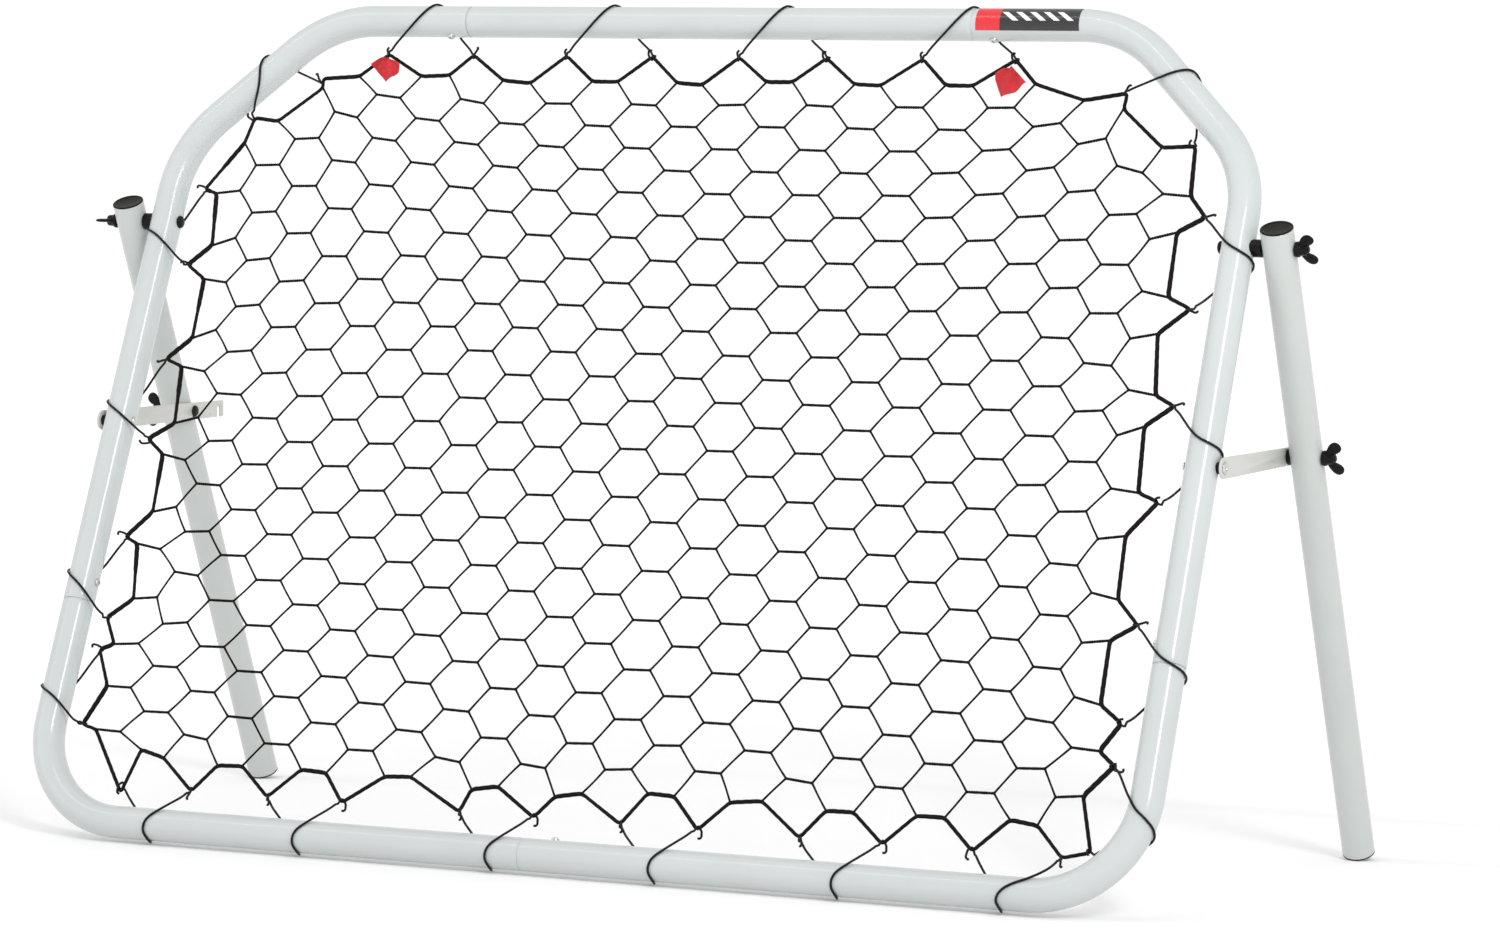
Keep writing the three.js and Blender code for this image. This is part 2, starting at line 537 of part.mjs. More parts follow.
for (const [side, facing] of [['left', -1], ['right', 1]]) {
  // Everything on one side hangs on a group whose +X points outwards from the frame.
  const outward = new THREE.Group();
  outward.rotation.z = facing < 0 ? Math.PI : 0;
  rebounder.add(outward);
  // Turned half round, the left group also turns +Y forwards, so places are mirrored in Y.
  const at = (point) => new THREE.Vector3(point.x, point.y * facing, point.z);
  const turned = (angle) => angle * facing;

  const pivot = new THREE.Group();
  pivot.position.copy(at(PIVOT));
  outward.add(pivot);
  const bolt = [...boltHead.map(([r, d]) => [r, d + FRAME_IN]), [BOLT_R, LEG_OUT + WING_NUT_LENGTH + 2],
    [0, LEG_OUT + WING_NUT_LENGTH + 2]];
  piece(`${side}_pivot_bolt`, turnedAboutX(bolt, 12), blackPlastic, pivot);
  const spacer = saddleSleeve(SPACER_R, HALF_W + 12, LEG_IN - GAP, HALF_W, turned(-LEAN));
  piece(`${side}_pivot_spacer`, toGeometry(spacer), blackPlastic, pivot);
  const pivotNut = piece(`${side}_pivot_wing_nut`, wingNut(), blackPlastic, pivot);
  pivotNut.position.x = LEG_OUT;
  pivotNut.rotation.x = turned(THREE.MathUtils.degToRad(WING_TURNS[side].pivot));

  const leg = new THREE.Group();
  leg.position.copy(at(PIVOT)).setX(LEG_X);
  leg.rotation.x = turned(LEG_ANGLE);
  outward.add(leg);
  piece(`${side}_leg_tube`, legTube(), legPaint, leg);
  piece(`${side}_leg_top_cap`, legCap(1.2), capPlastic, leg).position.z = LEG_OVER;
  const foot = piece(`${side}_leg_foot_cap`, legCap(0.2), capPlastic, leg);
  foot.rotation.x = Math.PI;
  foot.position.z = -FOOT_DOWN;

  const lock = new THREE.Group();
  lock.position.copy(at(LOCK));
  outward.add(lock);
  const collar = saddleSleeve(COLLAR_R, STRAP_OUT + 1.5 * GAP, LEG_IN + 4, LEG_X, turned(LEG_ANGLE));
  const stud = toSolid(rodX(BOLT_R + 0.5, STRAP_OUT + 1.5 * GAP, LEG_IN - 1))
    .add(toSolid(rodX(BOLT_R, STRAP_OUT + 1.5 * GAP, LEG_OUT + WING_NUT_LENGTH + 2)));
  piece(`${side}_lock_stud`, toGeometry(collar.add(stud)), blackPlastic, lock);
  const lockNut = piece(`${side}_lock_wing_nut`, wingNut(), blackPlastic, lock);
  lockNut.position.x = LEG_OUT;
  lockNut.rotation.x = turned(THREE.MathUtils.degToRad(WING_TURNS[side].lock));
  const lockHead = [[0, -2.6], [3.4, -2.3], [5.2, -1.3], [6, 0], [BOLT_R, 0]]
    .map(([r, d]) => [r, d + STRAP_IN - GAP]);
  lockHead.push([BOLT_R, STRAP_OUT + GAP / 2], [0, STRAP_OUT + GAP / 2]);
  piece(`${side}_lock_bolt`, turnedAboutX(lockHead, 12), blackPlastic, lock);

  const strap = new THREE.Group();
  strap.position.copy(at(RIVET));
  strap.rotation.x = turned(STRAP_RISE);
  outward.add(strap);
  const plate = piece(`${side}_strap`, strapPlate().translate(STRAP_IN, 0, 0), strapPaint, strap);
  if (facing < 0) plate.geometry.applyMatrix4(new THREE.Matrix4().makeRotationZ(Math.PI))
    .translate(STRAP_IN + STRAP_OUT, 0, 0);
  const rivet = [
    [0, FRAME_IN - 2], [3.6, FRAME_IN - 2], [4.5, FRAME_IN - 1], [4.5, FRAME_IN], [BOLT_R, FRAME_IN],
    [BOLT_R, STRAP_OUT + GAP], [6, STRAP_OUT + GAP], [6, STRAP_OUT + 1.3], [4.6, STRAP_OUT + 2.3],
    [0, STRAP_OUT + 2.3],
  ];
  piece(`${side}_strap_rivet`, turnedAboutX(rivet, 12), steel, strap);
  const washer = saddleSleeve(STRAP_WASHER_R, HALF_W + 12, STRAP_IN - GAP, HALF_W, turned(-LEAN));
  const washerPlace = new THREE.Group();
  washerPlace.position.copy(at(RIVET));
  outward.add(washerPlace);
  piece(`${side}_strap_washer`, toGeometry(washer), blackPlastic, washerPlace);
}

// The origin is the middle of the footprint, on the ground.
rebounder.updateMatrixWorld(true);
const extent = new THREE.Box3().setFromObject(rebounder, true);
const middle = extent.getCenter(new THREE.Vector3());
rebounder.position.set(-middle.x, -middle.y, -extent.min.z);

export default rebounder;
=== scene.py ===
"""A ball rebounder: white steel tube frame, laced hexagonal net, folding rear legs.

Lengths are in metres, in the row frame. The frame of the rebounder leans back, so most of it is
drawn in the frame's own axes first: x across, through (front is negative) and up its slope.
"""
import json
import math
import random
import bmesh
import bpy
import numpy as np
from mathutils import Matrix, Vector


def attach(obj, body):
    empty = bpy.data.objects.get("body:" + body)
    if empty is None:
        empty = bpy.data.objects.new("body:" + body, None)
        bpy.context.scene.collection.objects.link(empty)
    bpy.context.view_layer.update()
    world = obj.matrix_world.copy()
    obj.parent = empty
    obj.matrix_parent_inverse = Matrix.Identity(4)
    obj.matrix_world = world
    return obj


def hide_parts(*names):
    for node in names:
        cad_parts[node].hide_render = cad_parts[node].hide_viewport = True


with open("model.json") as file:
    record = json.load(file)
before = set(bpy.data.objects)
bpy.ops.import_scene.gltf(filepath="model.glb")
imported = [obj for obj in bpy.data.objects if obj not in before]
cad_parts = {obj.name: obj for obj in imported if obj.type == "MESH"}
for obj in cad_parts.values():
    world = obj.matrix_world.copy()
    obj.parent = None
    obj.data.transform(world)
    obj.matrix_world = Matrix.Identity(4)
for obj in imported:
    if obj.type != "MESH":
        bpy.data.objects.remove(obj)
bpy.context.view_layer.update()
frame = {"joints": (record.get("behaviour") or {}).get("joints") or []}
JOINTS = {joint["name"]: joint for joint in frame["joints"]}

# -------- driving sizes
TUBE_R = 0.016
TUBE_WALL = 0.0014
FRAME_W = 1.168                  # between the axes of the side tubes
FRAME_H = 0.868                  # between the axes of the top and bottom tubes
CHAMFER = 0.145                  # the cut corners take this off both sides of a corner
CHAMFER_BEND = 0.120
CORNER_BEND = 0.100
LEAN = math.radians(23.1)
LEG_ANGLE = math.radians(25.2)
RIVET_UP = 0.420                 # up the frame from the bottom tube's axis
LEG_OVER = 0.022                 # leg's top above its pivot
SEAM_TOP = 0.278                 # seams' distances from the middle of the top tube,
SEAM_SIDE = 0.225                # up the side tubes
SEAM_BOTTOM = -0.031             # and across from the middle of the bottom tube
SCREW_SETBACK = 0.021
GAP = 0.0003                     # between parts that nearly touch
STRAP_IN = 0.604                 # the strap's inner face, from the middle plane
STRAP_T = 0.0022
WIRE_R = 0.00120
WRAP_R = TUBE_R + 0.0002 + WIRE_R
ROUND = 48                       # sides of a round tube

HALF_W = FRAME_W / 2
LEG_X = HALF_W + 0.041           # legs stand just outside the side tubes
PIVOT = Vector((0, *JOINTS["right_leg_fold"]["pos_m"][1:]))
RIVET = Vector((0, *JOINTS["right_strap_fold"]["pos_m"][1:]))
LOCK = Vector((0, *JOINTS["right_lock_nut_turn"]["pos_m"][1:]))
BASE = RIVET - RIVET_UP * Vector((0, math.sin(LEAN), math.cos(LEAN)))
FRAME_AXES = Matrix.Translation(BASE) @ Matrix.Rotation(-LEAN, 4, "X")
SIDES = (("left", -1), ("right", 1))


def mm(*values):
    return tuple(value / 1000 for value in values)


# -------- materials
class Look:
    """A node material, with short calls for the nodes that several finishes share."""

    def __init__(self, name, colour, roughness, **sockets):
        self.material = bpy.data.materials.new(name)
        self.material.use_nodes = True
        self.tree = self.material.node_tree
        self.shader = self.tree.nodes["Principled BSDF"]
        self.shader.inputs["Base Color"].default_value = (*colour, 1)
        self.shader.inputs["Roughness"].default_value = roughness
        for socket, value in sockets.items():
            self.shader.inputs[socket.replace("_", " ")].default_value = value
        coordinates = self.node("TexCoord")
        self.place = coordinates.outputs["Object"]
        self.uv = coordinates.outputs["UV"]

    def node(self, kind, inputs=None, **settings):
        """A new node. Each of its inputs is given another node's output or a plain value."""
        node = self.tree.nodes.new("ShaderNode" + kind)
        for setting, value in settings.items():
            setattr(node, setting, value)
        for socket, value in (inputs or {}).items():
            if isinstance(value, bpy.types.NodeSocket):
                self.tree.links.new(value, node.inputs[socket])
            else:
                node.inputs[socket].default_value = value
        return node

    def shade(self, source, socket):
        self.tree.links.new(source, self.shader.inputs[socket])

    def noise(self, scale, detail=2.0):
        values = {"Scale": scale, "Detail": detail, "Vector": self.place}
        return self.node("TexNoise", values).outputs["Fac"]

    def spread(self, source, low, high, start=0.3, stop=0.7):
        """source's range start to stop becomes low to high."""
        values = {"From Min": start, "From Max": stop, "To Min": low, "To Max": high, "Value": source}
        return self.node("MapRange", values).outputs["Result"]

    def calc(self, operation, *values):
        return self.node("Math", dict(enumerate(values)), operation=operation).outputs["Value"]

    def between(self, source, low, high):
        """1 where source lies between low and high, otherwise 0."""
        above = self.calc("GREATER_THAN", source, low)
        return self.calc("MULTIPLY", above, self.calc("LESS_THAN", source, high))

    def mix(self, share, one, other):
        values = {"A": one, "B": other, "Factor": share}
        return self.node("Mix", values, data_type="RGBA").outputs["Result"]

    def tint(self, source, stops):
        ramp = self.node("ValToRGB", {"Fac": source})
        for end, (position, colour) in zip(ramp.color_ramp.elements, stops):
            end.position = position
            end.color = (*colour, 1)
        self.shade(ramp.outputs["Color"], "Base Color")

    def rough(self, source, low, high):
        self.shade(self.spread(source, low, high), "Roughness")

    def bump(self, source, strength, distance):
        values = {"Strength": strength, "Distance": distance, "Height": source}
        self.shade(self.node("Bump", values).outputs["Normal"], "Normal")


def powder_coat(name, low, high, roughness):
    """Gloss powder coat on steel: slow drifts of shade and gloss, and an even, shallow skin."""
    look = Look(name, high, roughness, Specular_IOR_Level=0.32, Coat_Weight=0.12, Coat_Roughness=0.05)
    look.tint(look.noise(9, 3), [(0.3, low), (0.7, high)])
    look.rough(look.noise(38, 3), roughness * 0.85, roughness * 1.25)
    look.bump(look.noise(60, 0), 0.006, 0.0001)
    return look.material


def zinc_plate():
    look = Look("zinc_plate", (0.62, 0.62, 0.60), 0.28, Metallic=1.0)
    look.tint(look.noise(260, 3), [(0.3, (0.50, 0.50, 0.48)), (0.7, (0.72, 0.72, 0.70))])
    look.rough(look.noise(900, 2), 0.2, 0.42)
    look.bump(look.noise(1500, 2), 0.15, 0.00008)
    return look.material


def moulded(name, low, high, roughness, shine, grain=1400):
    """Moulded plastic with a fine spark-eroded grain and rubbed patches."""
    look = Look(name, high, roughness, Specular_IOR_Level=shine)
    look.tint(look.noise(90, 4), [(0.3, low), (0.75, high)])
    look.rough(look.noise(160, 3), roughness * 0.8, roughness * 1.2)
    look.bump(look.noise(grain, 2), 0.22, 0.00012)
    return look.material


def black_coat(name, grain):
    look = Look(name, (0.006, 0.006, 0.006), 0.3, Specular_IOR_Level=0.16)
    look.tint(look.noise(240, 3), [(0.3, (0.004, 0.004, 0.004)), (0.7, (0.010, 0.010, 0.010))])
    look.rough(look.noise(500, 2), 0.22, 0.4)
    look.bump(look.noise(grain, 2), 0.3, 0.00015)
    return look.material


def cord_fibre(name, low, high, scale):
    """Knitted synthetic cord: fibre runs along it, with matt and slightly shiny stretches."""
    look = Look(name, high, 0.85, Specular_IOR_Level=0.08)
    look.tint(look.noise(scale, 4), [(0.3, low), (0.72, high)])
    look.rough(look.noise(scale * 0.5, 2), 0.6, 0.9)
    look.bump(look.noise(scale * 3, 3), 0.5, 0.0003)
    return look.material


def woven_tape():
    look = Look("woven_tape", (0.62, 0.012, 0.022), 0.75, Sheen_Weight=0.15, Sheen_Roughness=0.4)
    threads = {"Scale": 520, "Distortion": 0.6, "Vector": look.uv}
    warp, weft = (look.node("TexWave", threads, bands_direction=way).outputs["Fac"] for way in "XY")
    look.tint(look.noise(70, 3), [(0.25, (0.42, 0.006, 0.012)), (0.75, (0.62, 0.016, 0.026))])
    look.bump(look.calc("MULTIPLY", warp, weft), 0.5, 0.0003)
    return look.material


LABEL_BARS = 7.5                 # how many slanted bars would fit along the whole label
LABEL_SLANT = 0.35
LABEL_BLACK, LABEL_RED, LABEL_PALE = (0.012, 0.012, 0.013, 1), (0.66, 0.010, 0.020, 1), (0.78, 0.78, 0.78, 1)


def label_print():
    """Printed film round the bar: a plain red block, then black with a row of slanted pale bars."""
    look = Look("label_print", LABEL_BLACK[:3], 0.3, Coat_Weight=0.4, Coat_Roughness=0.1)
    parts = look.node("SeparateXYZ", {"Vector": look.uv})
    along, across = parts.outputs["X"], parts.outputs["Y"]
    slant = look.calc("MULTIPLY_ADD", across, LABEL_SLANT, along)
    bar = look.calc("GREATER_THAN", look.calc("FRACT", look.calc("MULTIPLY", slant, LABEL_BARS)), 0.56)
    row = look.calc("MULTIPLY", look.between(slant, 3 / LABEL_BARS, 8 / LABEL_BARS),
                    look.between(across, 0.33, 0.67))
    blocks = look.mix(look.between(along, -0.1, 0.235), LABEL_BLACK, LABEL_RED)
    look.shade(look.mix(look.calc("MULTIPLY", bar, row), blocks, LABEL_PALE), "Base Color")
    look.rough(look.noise(120, 3), 0.24, 0.4)
    look.bump(look.noise(300, 2), 0.1, 0.0002)
    return look.material


FRAME_PAINT = powder_coat("frame_paint", (0.52, 0.548, 0.548), (0.55, 0.578, 0.578), 0.17)
LEG_PAINT = powder_coat("leg_paint", (0.50, 0.525, 0.512), (0.53, 0.555, 0.542), 0.2)
STRAP_PAINT = powder_coat("strap_paint", (0.52, 0.525, 0.49), (0.56, 0.565, 0.53), 0.3)
ZINC = zinc_plate()
BLACK_PLASTIC = moulded("black_plastic", (0.004, 0.004, 0.004), (0.010, 0.010, 0.010), 0.26, 0.12)
CAP_PLASTIC = moulded("cap_plastic", (0.008, 0.007, 0.005), (0.017, 0.015, 0.011), 0.24, 0.05, 1800)
BLACK_STEEL = black_coat("black_steel", 2600)
BLACK_WIRE = black_coat("black_wire", 900)
NET_CORD = cord_fibre("net_cord", (0.004, 0.003, 0.003), (0.014, 0.011, 0.010), 700)
ROPE_CORD = cord_fibre("rope_cord", (0.004, 0.003, 0.003), (0.015, 0.012, 0.011), 500)
RED_TAPE = woven_tape()


# -------- mesh helpers
def piece(name, shape, material, body, node, uvs=None):
    """A mesh object in the row frame, riding on a body and standing for its CAD node. shape is its
    points and its faces."""
    verts, faces = shape
    mesh = bpy.data.meshes.new(name)
    mesh.from_pydata([tuple(v) for v in verts], [], faces)
    if uvs is not None:
        layer = mesh.uv_layers.new(name="UVMap")
        for loop in mesh.loops:
            layer.data[loop.index].uv = uvs[loop.vertex_index]
    mesh.validate()
    bm = bmesh.new()
    bm.from_mesh(mesh)
    bmesh.ops.recalc_face_normals(bm, faces=bm.faces)
    bm.to_mesh(mesh)
    bm.free()
    mesh.shade_smooth()
    mesh.set_sharp_from_angle(angle=math.radians(38))
    obj = bpy.data.objects.new(name, mesh)
    bpy.context.scene.collection.objects.link(obj)
    mesh.materials.append(material)
    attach(obj, body)
    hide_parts(node)
    return obj


def circle(sides):
    """The angle, cosine and sine of even steps round a circle."""
    angles = [2 * math.pi * j / sides for j in range(sides)]
    return [(angle, math.cos(angle), math.sin(angle)) for angle in angles]


def ring_faces(rings, sides, start=0, closed=False):
    """Quads between successive rings of `sides` points each."""
    faces = []
    for i in range(rings if closed else rings - 1):
        for j in range(sides):
            a = start + i * sides + j
            b = start + i * sides + (j + 1) % sides
            shift = ((i + 1) % rings - i) * sides
            faces.append((a, b, b + shift, a + shift))
    return faces


def capped(rings, sides, start=0):
    end = start + (rings - 1) * sides
    ends = [tuple(range(start + sides - 1, start - 1, -1)), tuple(range(end, end + sides))]
    return ring_faces(rings, sides, start) + ends


def sweep(points, radii, sides, ridge=None, facing=None):
    """Rings of a round section along points; radii is one value or a list. The section is carried
    along without turning, or is kept turned towards `facing` round a closed loop.
    ridge(i, angle) may scale the radius round the section."""
    points = [Vector(p) for p in points]
    if not hasattr(radii, "__len__"):
        radii = [radii] * len(points)
    verts = []
    side = None
    for i, p in enumerate(points):
        if facing is None:
            before, after = points[max(i - 1, 0)], points[min(i + 1, len(points) - 1)]
        else:
            before, after = points[i - 1], points[(i + 1) % len(points)]
        ahead = (after - before).normalized()
        if side is None:
            side = ahead.orthogonal().normalized()
        if facing is not None:
            side = Vector(facing)
        side = (side - ahead * side.dot(ahead)).normalized()
        other = ahead.cross(side)
        for angle, c, s in circle(sides):
            r = radii[i] * (ridge(i, angle) if ridge else 1)
            verts.append(p + side * (r * c) + other * (r * s))
    return verts


def turned(profile, sides, place):
    """A closed [radius, distance] profile turned about the Z axis of `place`."""
    verts, faces, rings = [], [], []
    for radius, distance in profile:
        if radius < 1e-7:
            rings.append([len(verts)])
            verts.append(place @ Vector((0, 0, distance)))
            continue
        rings.append(list(range(len(verts), len(verts) + sides)))
        verts += [place @ Vector((radius * c, radius * s, distance)) for _, c, s in circle(sides)]
    pairs = list(zip(rings, rings[1:]))
    if len(rings[0]) > 1:
        pairs.append((rings[-1], rings[0]))
    for one, two in pairs:
        for j in range(sides):
            k = (j + 1) % sides
            if len(one) == 1 and len(two) > 1:
                faces.append((one[0], two[k], two[j]))
            elif len(two) == 1 and len(one) > 1:
                faces.append((one[j], one[k], two[0]))
            elif len(one) > 1:
                faces.append((one[j], one[k], two[k], two[j]))
    return verts, faces


def rounded(profile, radius, steps=3):
    """The profile with its corners off the axis rounded by up to `radius`."""
    points = [Vector(p) for p in profile]
    out = []
    for i, p in enumerate(points):
        if p.x < 1e-7 or i in (0, len(points) - 1):
            out.append(tuple(p))
            continue
        a, b = points[i - 1] - p, points[i + 1] - p
        cut = min(radius, a.length * 0.45, b.length * 0.45)
        start, end = p + a.normalized() * cut, p + b.normalized() * cut
        for k in range(steps + 1):
            t = k / steps
            out.append(tuple(start * (1 - t) ** 2 + p * (2 * t * (1 - t)) + end * t ** 2))
    return out


def join(*parts):
    """Several (verts, faces) lists as one."""
    verts, faces = [], []
    for part_verts, part_faces in parts:
        offset = len(verts)
        verts += list(part_verts)
        faces += [tuple(i + offset for i in face) for face in part_faces]
    return verts, faces


def outward(facing, point):
    """An axis frame at a point (y, z) whose Z axis points out of that side of the rebounder."""
    turn = Matrix.Rotation(math.pi / 2 * facing, 4, "Y")
    return Matrix.Translation((0, point.y, point.z)) @ turn


# -------- the frame's centre line
def centre_line():
    """(x, up, outward angle) along the tubes' axis, clockwise from the middle of the bottom."""
    eighth = math.pi / 4
    cut = CHAMFER_BEND * math.tan(eighth / 2)
    top_arc = FRAME_H - CHAMFER_BEND
    shoulder = FRAME_H - CHAMFER - cut
    arcs = [
        (-HALF_W + CORNER_BEND, CORNER_BEND, CORNER_BEND, -2 * eighth, -2 * eighth),
        (-HALF_W + CHAMFER_BEND, shoulder, CHAMFER_BEND, -4 * eighth, -eighth),
        (-HALF_W + CHAMFER + cut, top_arc, CHAMFER_BEND, 3 * eighth, -eighth),
        (HALF_W - CHAMFER - cut, top_arc, CHAMFER_BEND, 2 * eighth, -eighth),
        (HALF_W - CHAMFER_BEND, shoulder, CHAMFER_BEND, eighth, -eighth),
        (HALF_W - CORNER_BEND, CORNER_BEND, CORNER_BEND, 0.0, -2 * eighth),
    ]
    line = [(0.0, 0.0, -math.pi / 2)]
    for x, z, r, start, turn in arcs:
        steps = round(abs(turn) / math.radians(3))
        for i in range(steps + 1):
            angle = start + turn * i / steps
            line.append((x + r * math.cos(angle), z + r * math.sin(angle), angle))
    line.append((0.0, 0.0, -math.pi / 2))
    return line


LINE = centre_line()
RUN = [0.0]
for here, there in zip(LINE, LINE[1:]):
    RUN.append(RUN[-1] + math.hypot(there[0] - here[0], there[1] - here[1]))
LOOP = RUN[-1]


def station(s):
    """(x, up, inward x, inward up) on the tubes' centre line at a distance s along it."""
    s %= LOOP
    i = max(1, next((k for k, run in enumerate(RUN) if run >= s), len(RUN) - 1))
    (x0, z0, a0), (x1, z1, a1) = LINE[i - 1], LINE[i]
    t = (s - RUN[i - 1]) / (RUN[i] - RUN[i - 1])
    turn = math.atan2(math.sin(a1 - a0), math.cos(a1 - a0))
    angle = a0 + turn * t
    return x0 + (x1 - x0) * t, z0 + (z1 - z0) * t, -math.cos(angle), -math.sin(angle)


def beside(s, inward, through):
    """The point so far inward and through from the tubes' axis, at a distance s along it."""
    x, z, in_x, in_z = station(s)
    return FRAME_AXES @ Vector((x + in_x * inward, through, z + in_z * inward))


def nearest(x, z):
    """Distance along the tubes' axis to its nearest point to (x, z)."""
    best = (1e9, 0)
    for i in range(1, len(LINE)):
        ax, az = LINE[i - 1][:2]
        length = RUN[i] - RUN[i - 1]
        ux, uz = (LINE[i][0] - ax) / length, (LINE[i][1] - az) / length
        along = min(max((x - ax) * ux + (z - az) * uz, 0), length)
        best = min(best, (math.hypot(ax + ux * along - x, az + uz * along - z), RUN[i - 1] + along))
    return best[1]


def on_frame(x, up, through=0.0):
    return FRAME_AXES @ Vector((x, through, up))


# -------- frame tubes
# Each seam: its place along the axis, the side of it that the outer tube is on, and how far back
# its screw lies.
SEAMS = {
    "left": (nearest(-HALF_W, SEAM_SIDE), 1, SCREW_SETBACK),
    "top_left": (nearest(-SEAM_TOP, FRAME_H), -1, SCREW_SETBACK),
    "top_right": (nearest(SEAM_TOP, FRAME_H), 1, SCREW_SETBACK),
    "right": (nearest(HALF_W, SEAM_SIDE), -1, SCREW_SETBACK),
    "bottom": (nearest(SEAM_BOTTOM, 0), -1, SCREW_SETBACK + 0.009),
}
LIP = 0.0006                     # rounding of a tube's cut end
END_ZONE = 0.006                 # a tube's plain part begins this far from its ends
TUBE_STEP = 0.06                 # longest stretch between two rings of a tube's points
# (run, radius) of a reduced end that slides into the next tube.
NECK = [(0.0, TUBE_R), (0.0025, TUBE_R), (0.0022, 0.01585), (0.0008, 0.0150), (-0.001, 0.0146),
        (-0.012, 0.0145)]


def tube_end(s, direction, necked):
    """Rings (s, radius) that finish a tube's end: a rolled lip, or a neck into the next tube."""
    if necked:
        return [(s + direction * (GAP - run), radius) for run, radius in NECK[1:]]
    inner = TUBE_R - TUBE_WALL
    rings = [(LIP, TUBE_R), (LIP * 0.3, TUBE_R - LIP * 0.3), (0.0, TUBE_R - LIP), (0.0, inner + LIP * 0.5),
             (LIP * 0.5, inner), (0.020, inner)]
    return [(s - direction * run, radius) for run, radius in rings]


def frame_tube(name, s0, s1, necked):
    """A tube from s0 on to s1; necked names those of its ends that slide into the next tube."""
    end = s1 + LOOP if s1 < s0 else s1
    first, last = s0 + END_ZONE, end - END_ZONE
    stops = [run + lap for lap in (0, LOOP) for run in RUN if first < run + lap < last]
    body = []
    for a, b in zip([first] + stops, stops + [last]):
        steps = max(1, int((b - a) / TUBE_STEP))
        body += [(a + (b - a) * k / steps, TUBE_R) for k in range(steps)]
    rings = tube_end(s0, -1, "start" in necked)[::-1] + body + [(last, TUBE_R)]
    rings += tube_end(end, 1, "end" in necked)
    kept = [rings[0]]
    for ring in rings[1:]:
        if abs(ring[0] - kept[-1][0]) > 1e-6 or abs(ring[1] - kept[-1][1]) > 1e-6:
            kept.append(ring)
    verts = [beside(s, radius * cos, radius * sin) for s, radius in kept for _, cos, sin in circle(ROUND)]
    piece(name + "_skin", (verts, capped(len(kept), ROUND)), FRAME_PAINT, "frame", name)


for tube, start, end, ends in (("lower_left_tube", "bottom", "left", ("start", "end")),
                               ("upper_left_tube", "left", "top_left", ()),
                               ("top_tube", "top_left", "top_right", ("start", "end")),
                               ("upper_right_tube", "top_right", "right", ()),
                               ("lower_right_tube", "right", "bottom", ("start",))):
    frame_tube(tube, SEAMS[start][0], SEAMS[end][0], ends)


def cross_head(radius, height, place, depth=0.0011):
    """A domed screw head with a cross recess, as a polar grid over a flat base."""
    rings, sides = 9, 48
    verts = [place @ Vector((0, 0, height - depth))]
    for i in range(1, rings + 1):
        share = i / rings
        r = radius * share
        lift = height * math.sqrt(max(0.0, 1 - (share * 0.94) ** 2.6))
        for _, c, s in circle(sides):
            sunk = share < 0.66 and min(abs(s), abs(c)) * r < radius * 0.14
            verts.append(place @ Vector((r * c, r * s, lift - depth if sunk else lift)))
    verts += [place @ Vector((radius * c, radius * s, -0.0008)) for _, c, s in circle(sides)]
    faces = [(0, 1 + (j + 1) % sides, 1 + j) for j in range(sides)]
    faces += ring_faces(rings + 1, sides, 1)
    faces.append(tuple(range(len(verts) - sides, len(verts))))
    return verts, faces


def seam_screw(where, s, outer, setback):
    """A cross-head screw in the inner side of the outer tube, set back from its end."""
    x, z, in_x, in_z = station(s + outer * setback)
    inward = Vector((in_x, 0, in_z))
    turn = inward.to_track_quat("Z", "Y").to_matrix().to_4x4()
    place = FRAME_AXES @ Matrix.Translation((x, 0, z)) @ turn
    top = place @ Matrix.Translation((0, 0, TUBE_R + 0.0004))
    head = cross_head(radius=0.004, height=0.0024, place=top)
    shank = turned([(0, 0.010), (0.002, 0.010), (0.002, TUBE_R), (0, TUBE_R)], 16, place)
    piece(f"{where}_screw_head", join(head, shank), ZINC, "frame", f"{where}_seam_screw")


for where, seam in SEAMS.items():
    seam_screw(where, *seam)


